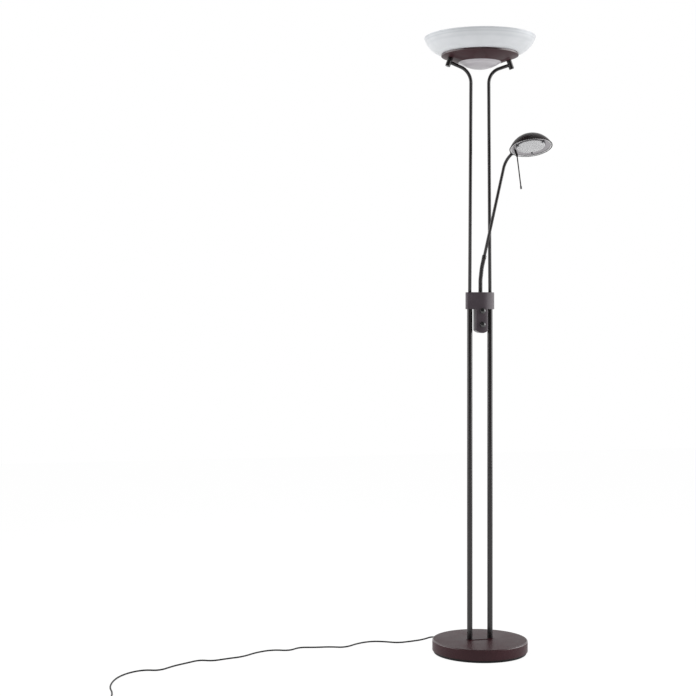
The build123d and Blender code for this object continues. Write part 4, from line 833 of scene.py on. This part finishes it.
class TORCHIERE_OT_base(Operator):
    """Build the weighted base: its pressed cover, the raised seat of the poles and the foot"""

    bl_idname = "torchiere.base"
    bl_label = "Base"

    def execute(self, context):
        sizes = context.scene.torchiere_sizes
        radius, edge = sizes.base / MM, sizes.base_edge / MM
        inside = radius - COVER_WALL
        shell = Outline((0, COVER_TOP_Z)).to((radius, COVER_TOP_Z), (radius, COVER_LOW_Z))
        shell.to((inside, COVER_LOW_Z), (inside, COVER_TOP_Z - COVER_WALL))
        mesh = shell.to((0, COVER_TOP_Z - COVER_WALL)).turned(192)
        soften(mesh, edge, 10, 60, lambda p: p.z > 38 and p.xy.length > radius - 1)
        soften(mesh, 0.3, 2, 60, lambda p: p.z < 8 and p.xy.length > radius - 0.1)
        shell = add_piece("base_shell", mesh, "body", "body_lacquer", "stand", "base_cover")
        shiny = edge * 0.92  # width of the rounding that the lacquer draws thin on
        paint_edge(shell, radius - shiny, COVER_TOP_Z - shiny)

        right, left, wide = (POLE_X, 0), (-POLE_X, 0), POLE_SEAT
        seat = Outline((-POLE_X, wide)).to((POLE_X, wide))
        seat.arc((POLE_X + wide, 0), right, 14).arc((POLE_X, -wide), right, 14)
        seat.to((-POLE_X, -wide)).arc((-POLE_X - wide, 0), left, 14)
        # the last arc stops just short of the first point, and a short edge closes it
        mesh = seat.arc((-POLE_X, wide - 0.01), left, 14).close().raised(37.6, FOOT_Z)
        soften(mesh, 1.0, 5, 60, lambda p: p.z > FOOT_Z - 0.1)
        add_piece("pole_seat", mesh, "body", "body_lacquer", "stand")

        smoothed("foot_pad", "rubber", "foot_rubber", "stand")
        paint("zinc", "base_plate", "plate_screws", "base_studs", "base_nuts")
        paint("iron", "base_weight")
        return {"FINISHED"}


def ring_axes(side):
    """Boss seat on the ring's underside, the sheet's normal and the direction outwards."""
    seat_z = RING_OPENING[1] + (BOSS_SEAT - RING_OPENING[0]) * tan(RING_SLOPE)
    seat = Vector((side * BOSS_SEAT, 0, seat_z))
    normal = Vector((-side * sin(RING_SLOPE), 0, cos(RING_SLOPE)))
    outwards = Vector((side * cos(RING_SLOPE), 0, sin(RING_SLOPE)))
    return seat, normal, outwards


class TORCHIERE_OT_poles(Operator):
    """Build the two lower poles with their joints and the two bent upper poles"""

    bl_idname = "torchiere.poles"
    bl_label = "Poles"

    def execute(self, context):
        sizes = context.scene.torchiere_sizes
        radius = sizes.pole / MM
        for name, side in (("left", -1), ("right", 1)):
            bar = Outline((0, FOOT_Z)).to((radius - 0.4, FOOT_Z), (radius, FOOT_Z + 0.4))
            bar.to((radius, JOINT_Z - 0.5), (radius - 0.5, JOINT_Z - 0.08))
            bar.to((radius - 0.5, JOINT_Z + 0.08), (radius, JOINT_Z + 0.5))
            bar.to((radius, POLE_TOP_Z), (0, POLE_TOP_Z))
            mesh = bar.turned(56)
            bmesh.ops.translate(mesh, verts=mesh.verts, vec=(side * POLE_X, 0, 0))
            add_piece(
                f"lower_pole_{name}",
                mesh,
                "tube",
                "body_lacquer",
                "stand",
                f"pole_bottom_{name}",
                f"pole_middle_{name}",
            )
            seat, normal, outwards = ring_axes(side)
            middle = seat - normal * (BOSS_LENGTH / 2)
            corner = middle - outwards * ((abs(middle.x) - UPPER_TOP_X) / abs(outwards.x))
            foot = Vector((side * POLE_X, 0, UPPER_FOOT_Z))
            way = (foot, corner, middle + outwards * 4)
            mesh = soften(bent_bar(way, sizes.upper_pole / MM, 48), 0.4, 2, 60)
            pole = f"upper_pole_{name}"
            add_piece(pole + "_bar", mesh, "tube", "body_lacquer", "stand", pole)
        paint("tube", "pole_reducers")
        paint("zinc", "pole_plugs", "pole_couplers")
        paint("leads", "inner_leads")
        return {"FINISHED"}


class TORCHIERE_OT_ring(Operator):
    """Build the sheet ring that carries the glass, its bosses, screws and lamp bridge"""

    bl_idname = "torchiere.ring"
    bl_label = "Ring"

    def execute(self, context):
        inner, outer = RING_OPENING, RING_EDGE
        lip = outer[0] - SHEET
        ring = Outline(inner).to(outer, (outer[0], RING_LIP_Z), (lip, RING_LIP_Z))
        ring.to((lip, outer[1] + SHEET_RISE - SHEET * tan(RING_SLOPE)))
        ring.to((inner[0], inner[1] + SHEET_RISE))
        mesh = ring.close().turned(160)
        soften(mesh, 0.45, 3, 50)
        ring = add_piece("glass_ring", mesh, "body", "body_lacquer", "stand", "holder_ring")
        paint_edge(ring, outer[0] - 0.8, outer[1] - 0.2)
        smoothed("ring_bosses", "tube", "body_lacquer", "stand")
        smoothed("ring_screws", "trim", "dark_trim", "stand")
        smoothed("lamp_bridge", "trim", "dark_trim", "stand")
        smoothed("lamp_sockets", "ceramic", "socket_ceramic", "stand")

        quartz = Outline((-59, 0)).to((-59, 3.6), (-52.6, 3.6), (-50, 4.6), (-47, 5.5))
        quartz.to((47, 5.5), (50, 4.6), (52.6, 3.6), (59, 3.6), (59, 0))
        mesh = quartz.turned(40, (1, 0, 0))
        bmesh.ops.translate(mesh, verts=mesh.verts, vec=(0, 0, LAMP_Z))
        add_piece("quartz_tube", mesh, "quartz", "lamp_glass", "stand", "uplight_tube")
        return {"FINISHED"}


class TORCHIERE_OT_glass(Operator):
    """Turn the uplight bowl and the shallow glass below it"""

    bl_idname = "torchiere.glass"
    bl_label = "Glass"

    def execute(self, context):
        foot, centre, top = BOWL_FOOT, BOWL_CENTRE, BOWL_TOP_Z
        outer = (Vector(foot) - Vector(centre)).length
        inner = outer - BOWL_WALL
        rim_out = centre[0] + sqrt(outer**2 - (top - centre[1]) ** 2)
        rim_in = centre[0] + sqrt(inner**2 - (top - centre[1]) ** 2)
        # the foot's flange rests 0.3 mm above the ring's sloping sheet
        cone = RING_OPENING[1] + SHEET_RISE + 0.3
        step, opening = 110.4, 98
        step_z, opening_z = (
            cone + (radius - RING_OPENING[0]) * tan(RING_SLOPE) for radius in (step, opening)
        )
        drop = sqrt(inner**2 - (step - centre[0]) ** 2)
        bowl = Outline(foot).arc((rim_out, top), centre, 40).to((rim_in, top))
        bowl.arc((step, centre[1] - drop), centre, 40)
        bowl.to((opening, opening_z + 4), (opening, opening_z), (step, step_z), (step, 1750.4))
        mesh = bowl.close().turned(192)
        soften(mesh, 1.7, 5, 50, lambda p: p.z > top - 0.05)
        add_piece("opal_bowl", mesh, "bowl", "opal_glass", "bowl", "uplight_bowl")

        edge, depth, wall, flange = 62.2, 20, 3, 68
        bottom = RING_OPENING[1] - depth
        sphere = (edge**2 + depth**2) / (2 * depth)
        middle = (0, bottom + sphere)
        low = RING_OPENING[1] + SHEET_RISE + 0.1
        high = low + (flange - RING_OPENING[0]) * tan(RING_SLOPE)
        inside = edge - wall
        wall_z = middle[1] - sqrt((sphere - wall) ** 2 - inside**2)
        dome = Outline((0, bottom)).arc((edge, RING_OPENING[1]), middle, 40)
        dome.to((edge, low), (flange, high), (flange, high + wall))
        dome.to((inside, low + 2.9), (inside, wall_z)).arc((0, bottom + wall), middle, 40)
        mesh = dome.turned(144)
        soften(mesh, 0.5, 2, 50, lambda p: p.z > RING_OPENING[1] + 1)
        add_piece("grey_dome", mesh, "lower", "grey_glass", "stand", "lower_glass")
        return {"FINISHED"}


class TORCHIERE_OT_housing(Operator):
    """Dress the dimmer housing between the poles, its lid and its screws"""

    bl_idname = "torchiere.housing"
    bl_label = "Dimmer housing"

    def execute(self, context):
        # the housing halves and lid take the lightened copy of the lacquer, a painted sheen
        for part in ("front", "rear", "lid"):
            smoothed(f"housing_{part}", "box", "body_lacquer", "stand")
        smoothed("neck_foot", "tube", "body_lacquer", "stand")
        smoothed("housing_screws", "zinc", "zinc_steel", "stand")
        paint("zinc", "neck_nut", "dimmer_nuts", "dimmer_pots")
        paint("board", "dimmer_board")
        paint("components", "dimmer_parts")
        return {"FINISHED"}


class TORCHIERE_OT_dimmers(Operator):
    """Turn the two dimmer knobs"""

    bl_idname = "torchiere.dimmers"
    bl_label = "Dimmer knobs"

    def execute(self, context):
        radius, crown, face = context.scene.torchiere_sizes.knob / MM, 5.4, 8
        curve = (radius**2 + (face - crown) ** 2) / (2 * (face - crown))
        for name, height in (("lower", 959.0), ("upper", 999.0)):
            knob = Outline((3.05, 5.9)).to((3.05, 1.8), (6.25, 1.8), (6.25, 0))
            knob.to((radius - 0.3, 0), (radius, 0.4), (radius, crown))
            knob.arc((0, face), (0, face - curve), 12).to((0, 5.9))
            mesh = knob.close().turned(72)
            soften(mesh, 0.7, 5, 40, lambda p: abs(p.z - crown) < 0.1)
            pointer = Outline((-0.45, 4.6)).to((0.45, 4.6), (0.45, 6.9), (-0.45, 6.9))
            join_into(mesh, soften(pointer.close().raised(5.5, 7.15), 0.15, 2, 60))
            add_piece(
                f"{name}_dimmer_knob",
                mesh,
                "knob",
                "knob_plastic",
                f"{name}_dimmer",
                f"{name}_knob",
                place=looking_along((0, -23.5, height), (0, -1, 0), (1, 0, 0)),
            )
            paint("zinc", f"{name}_shaft")
        return {"FINISHED"}


def neck_path(points, bend, share):
    """Point and direction at a share of a path of two runs joined by an arc."""
    a, corner, b = points
    inward, outward = (corner - a).normalized(), (b - corner).normalized()
    turn = inward.angle(outward)
    cut = bend * tan(turn / 2)
    first, second = (corner - a).length - cut, (b - corner).length - cut
    reach = share * (first + bend * turn + second)
    axis = inward.cross(outward).normalized()
    if reach <= first:
        return a + inward * reach, inward
    if reach >= first + bend * turn:
        return b - outward * (first + bend * turn + second - reach), outward
    angle = (reach - first) / bend
    centre = a + inward * first + axis.cross(inward) * bend
    turned = Matrix.Rotation(angle, 3, axis)
    return centre + turned @ (inward.cross(axis) * bend), turned @ inward


def ribbed_hose(points, bend, pitch):
    """Hose of round ribs, turned straight and then bent along its path."""
    a, corner, b = points
    turn = (corner - a).angle(b - corner)
    length = (corner - a).length + (b - corner).length - bend * (2 * tan(turn / 2) - turn)
    ribs = round(length / pitch)
    step = length / ribs
    bore, valley, shoulder, crest = 3.25, 5.2, 5.95, 6.2
    wall = Outline((bore, 0)).to((valley, 0))
    for rib in range(ribs):
        low = rib * step
        wall.to((shoulder, low + 0.16 * step), (crest, low + 0.38 * step))
        wall.to((crest, low + 0.62 * step), (shoulder, low + 0.84 * step))
        wall.to((valley, low + step))
    # the bore has a point at each rib, so that it bends with them
    wall.to(*((bore, rib * step) for rib in range(ribs, 0, -1)))
    mesh = wall.close().turned(40)
    side = Vector((-sin(radians(-14)), cos(radians(-14)), 0))
    for vert in mesh.verts:
        place, along = neck_path(points, bend, vert.co.z / length)
        across = side.cross(along).normalized()
        vert.co = place + across * vert.co.x + along.cross(across) * vert.co.y
    bmesh.ops.recalc_face_normals(mesh, faces=mesh.faces)
    return mesh


class TORCHIERE_OT_neck(Operator):
    """Turn the ribbed gooseneck as two hoses, bent along its path"""

    bl_idname = "torchiere.neck"
    bl_label = "Gooseneck"

    def execute(self, context):
        pitch = context.scene.torchiere_sizes.rib / MM
        mesh = ribbed_hose((NECK_START, NECK_BEND, NECK_SPLIT), 100, pitch)
        lower = add_piece(
            "lower_hose", mesh, "hose", "hose_lacquer", None, "gooseneck_lower", sharp=70
        )
        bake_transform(lower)
        mesh = ribbed_hose((NECK_SPLIT, NECK_NOD, NECK_END), 100, pitch)
        upper = add_piece(
            "upper_hose", mesh, "hose", "hose_lacquer", None, "gooseneck_upper", sharp=70
        )
        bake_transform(upper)
        return {"FINISHED"}


class TORCHIERE_OT_arm(Operator):
    """Bend the reading light's arm and turn its ferrule"""

    bl_idname = "torchiere.arm"
    bl_label = "Arm"

    def execute(self, context):
        radius = context.scene.torchiere_sizes.arm / MM
        mesh = soften(bent_bar((NECK_END, ARM_CORNER, SWIVEL), radius, 62), 0.35, 2, 60)
        add_piece("bent_arm", mesh, "tube", "body_lacquer", "arm", "arm_tube")
        inner, outer, length = radius + 0.05, 6.5, 11
        sleeve = Outline((inner, 0)).to((outer, 0), (outer, length), (inner, length))
        mesh = soften(sleeve.close().turned(56), 0.7, 4, 60, lambda p: p.xy.length > 6)
        foot = looking_along(NECK_END, ARM_UP, (0, 1, 0))
        add_piece(
            "turned_ferrule", mesh, "tube", "body_lacquer", "arm", "arm_ferrule", place=foot
        )
        paint("zinc", "swivel_pin")
        return {"FINISHED"}


def round_ring(radius, height, thick, steps):
    """A ring of round section about the Z axis."""
    centre = (radius, height)
    ring = Outline((radius + thick, height))
    for x, z in ((0, -1), (-1, 0), (0, 1)):
        ring.arc((radius + x * thick, height + z * thick), centre, steps)
    # the last arc stops just short of the first point, and a short edge closes it
    ring.arc((radius + thick, height + 0.001), centre, steps)
    return ring.close().turned(128)


class TORCHIERE_OT_head(Operator):
    """Build the reading head: shade, reflector, lens, clips, lamp and its turning handle"""

    bl_idname = "torchiere.head"
    bl_label = "Reading head"

    def execute(self, context):
        radius, depth, wall = 61.6, 40.5, 1.2
        sphere = (radius**2 + depth**2) / (2 * depth)
        middle = (0, depth - sphere)
        inner = sqrt((sphere - wall) ** 2 - middle[1] ** 2)
        shade = Outline((0, depth)).arc((radius, 0), middle, 40).to((inner, 0))
        mesh = shade.arc((0, depth - wall), middle, 40).turned(128)
        join_into(mesh, round_ring((radius + inner) / 2, 0, 1.4, 6))
        slot = "body_lacquer"
        add_piece("domed_shade", mesh, "shade", slot, "head", "head_shade", place=HEAD)
        smoothed("head_knuckle", "shade", slot, "head")

        edge, back = inner - wall, 24.8
        throat, ledge = (13.0, 24.0), (39.0, 5.4)
        cone = Outline(throat).to(ledge, (edge, 1.0), (edge, 1.8), (39.3, 6.25), (13.4, back))
        mesh = soften(cone.close().turned(128), 0.35, 2, 25)
        slot = "reflector_metal"
        add_piece("pressed_reflector", mesh, "reflector", slot, "head", "reflector", place=HEAD)
        # the rolled edge's white is partly a white rim and partly a painted highlight along the
        # shade's inner edge
        mesh = round_ring(edge - 0.5, 0.6, 1.2, 5)
        add_piece("reflector_rolled_edge", mesh, "white", slot, "head", place=HEAD)

        # the lens lies 0.3 mm in front of the reflector's slope
        wide, thick = 41, 3
        lens_z = 1.0 + (edge - wide) * (ledge[1] - 1.0) / (edge - ledge[0]) - thick - 0.3
        lens = Outline((0, lens_z)).to((wide, lens_z), (wide, lens_z + thick))
        mesh = soften(lens.to((0, lens_z + thick)).turned(128), 0.6, 4, 60)
        add_piece("frosted_lens", mesh, "lens", "lens_glass", "head", "lens", place=HEAD)
        smoothed("lens_clips", "clip", "clip_steel", "head")
        smoothed("head_lampholder", "ceramic", "socket_ceramic", "head")

        low, wide = back - 18, 5.9
        bulb = Outline((0, low)).arc((wide, low + wide), (0, low + wide), 12)
        mesh = bulb.to((wide, 21.5), (4.6, 23.2), (4.6, back), (0, back)).turned(48)
        add_piece("capsule", mesh, "quartz", "lamp_glass", "head", "capsule_bulb", place=HEAD)

        smoothed("handle_lever", "trim", "dark_trim", "head")
        handle = HEAD @ Matrix.Translation((-50, 0, 0))
        rod = Outline((0, -6.05)).to((1.8, -6.05), (1.8, -108.05), (0, -108.05))
        mesh = rod.turned(28)
        add_piece("turning_rod", mesh, "trim", "dark_trim", "head", "handle_rod", place=handle)
        tip = Outline((0, -113)).to((2.8, -113), (2.8, -104), (1.85, -104))
        mesh = soften(tip.turned(36), 1.0, 4, 60)
        add_piece("rod_tip", mesh, "knob", "knob_plastic", "head", "handle_tip", place=handle)
        return {"FINISHED"}


STEPS = (
    TORCHIERE_OT_stage,
    TORCHIERE_OT_cord,
    TORCHIERE_OT_base,
    TORCHIERE_OT_poles,
    TORCHIERE_OT_ring,
    TORCHIERE_OT_glass,
    TORCHIERE_OT_housing,
    TORCHIERE_OT_dimmers,
    TORCHIERE_OT_neck,
    TORCHIERE_OT_arm,
    TORCHIERE_OT_head,
)


class TORCHIERE_PT_panel(Panel):
    """Lists the steps that dress the lamp, and its settings"""

    bl_label = "Torchiere Floor Lamp"
    bl_idname = "TORCHIERE_PT_panel"
    bl_space_type = "VIEW_3D"
    bl_region_type = "UI"
    bl_category = "Torchiere"

    def draw(self, context):
        layout = self.layout
        for step in STEPS:
            layout.operator(step.bl_idname)
        for group in (context.scene.torchiere_sizes, context.scene.torchiere_colours):
            box = layout.box()
            for name in group.bl_rna.properties.keys():
                if name not in ("rna_type", "name"):
                    box.prop(group, name)


CLASSES = (TorchiereColours, TorchiereSizes, *STEPS, TORCHIERE_PT_panel)


def register():
    """Register the settings, the steps and the panel."""
    for item in CLASSES:
        bpy.utils.register_class(item)
    bpy.types.Scene.torchiere_colours = PointerProperty(type=TorchiereColours)
    bpy.types.Scene.torchiere_sizes = PointerProperty(type=TorchiereSizes)


def unregister():
    """Take the settings, the steps and the panel out again."""
    del bpy.types.Scene.torchiere_sizes
    del bpy.types.Scene.torchiere_colours
    for item in reversed(CLASSES):
        bpy.utils.unregister_class(item)


def main():
    """Dress the lamp step by step."""
    register()
    bpy.ops.torchiere.stage()
    bpy.ops.torchiere.cord()
    bpy.ops.torchiere.base()
    bpy.ops.torchiere.poles()
    bpy.ops.torchiere.ring()
    bpy.ops.torchiere.glass()
    bpy.ops.torchiere.housing()
    bpy.ops.torchiere.dimmers()
    bpy.ops.torchiere.neck()
    bpy.ops.torchiere.arm()
    bpy.ops.torchiere.head()


if __name__ == "__main__":
    main()
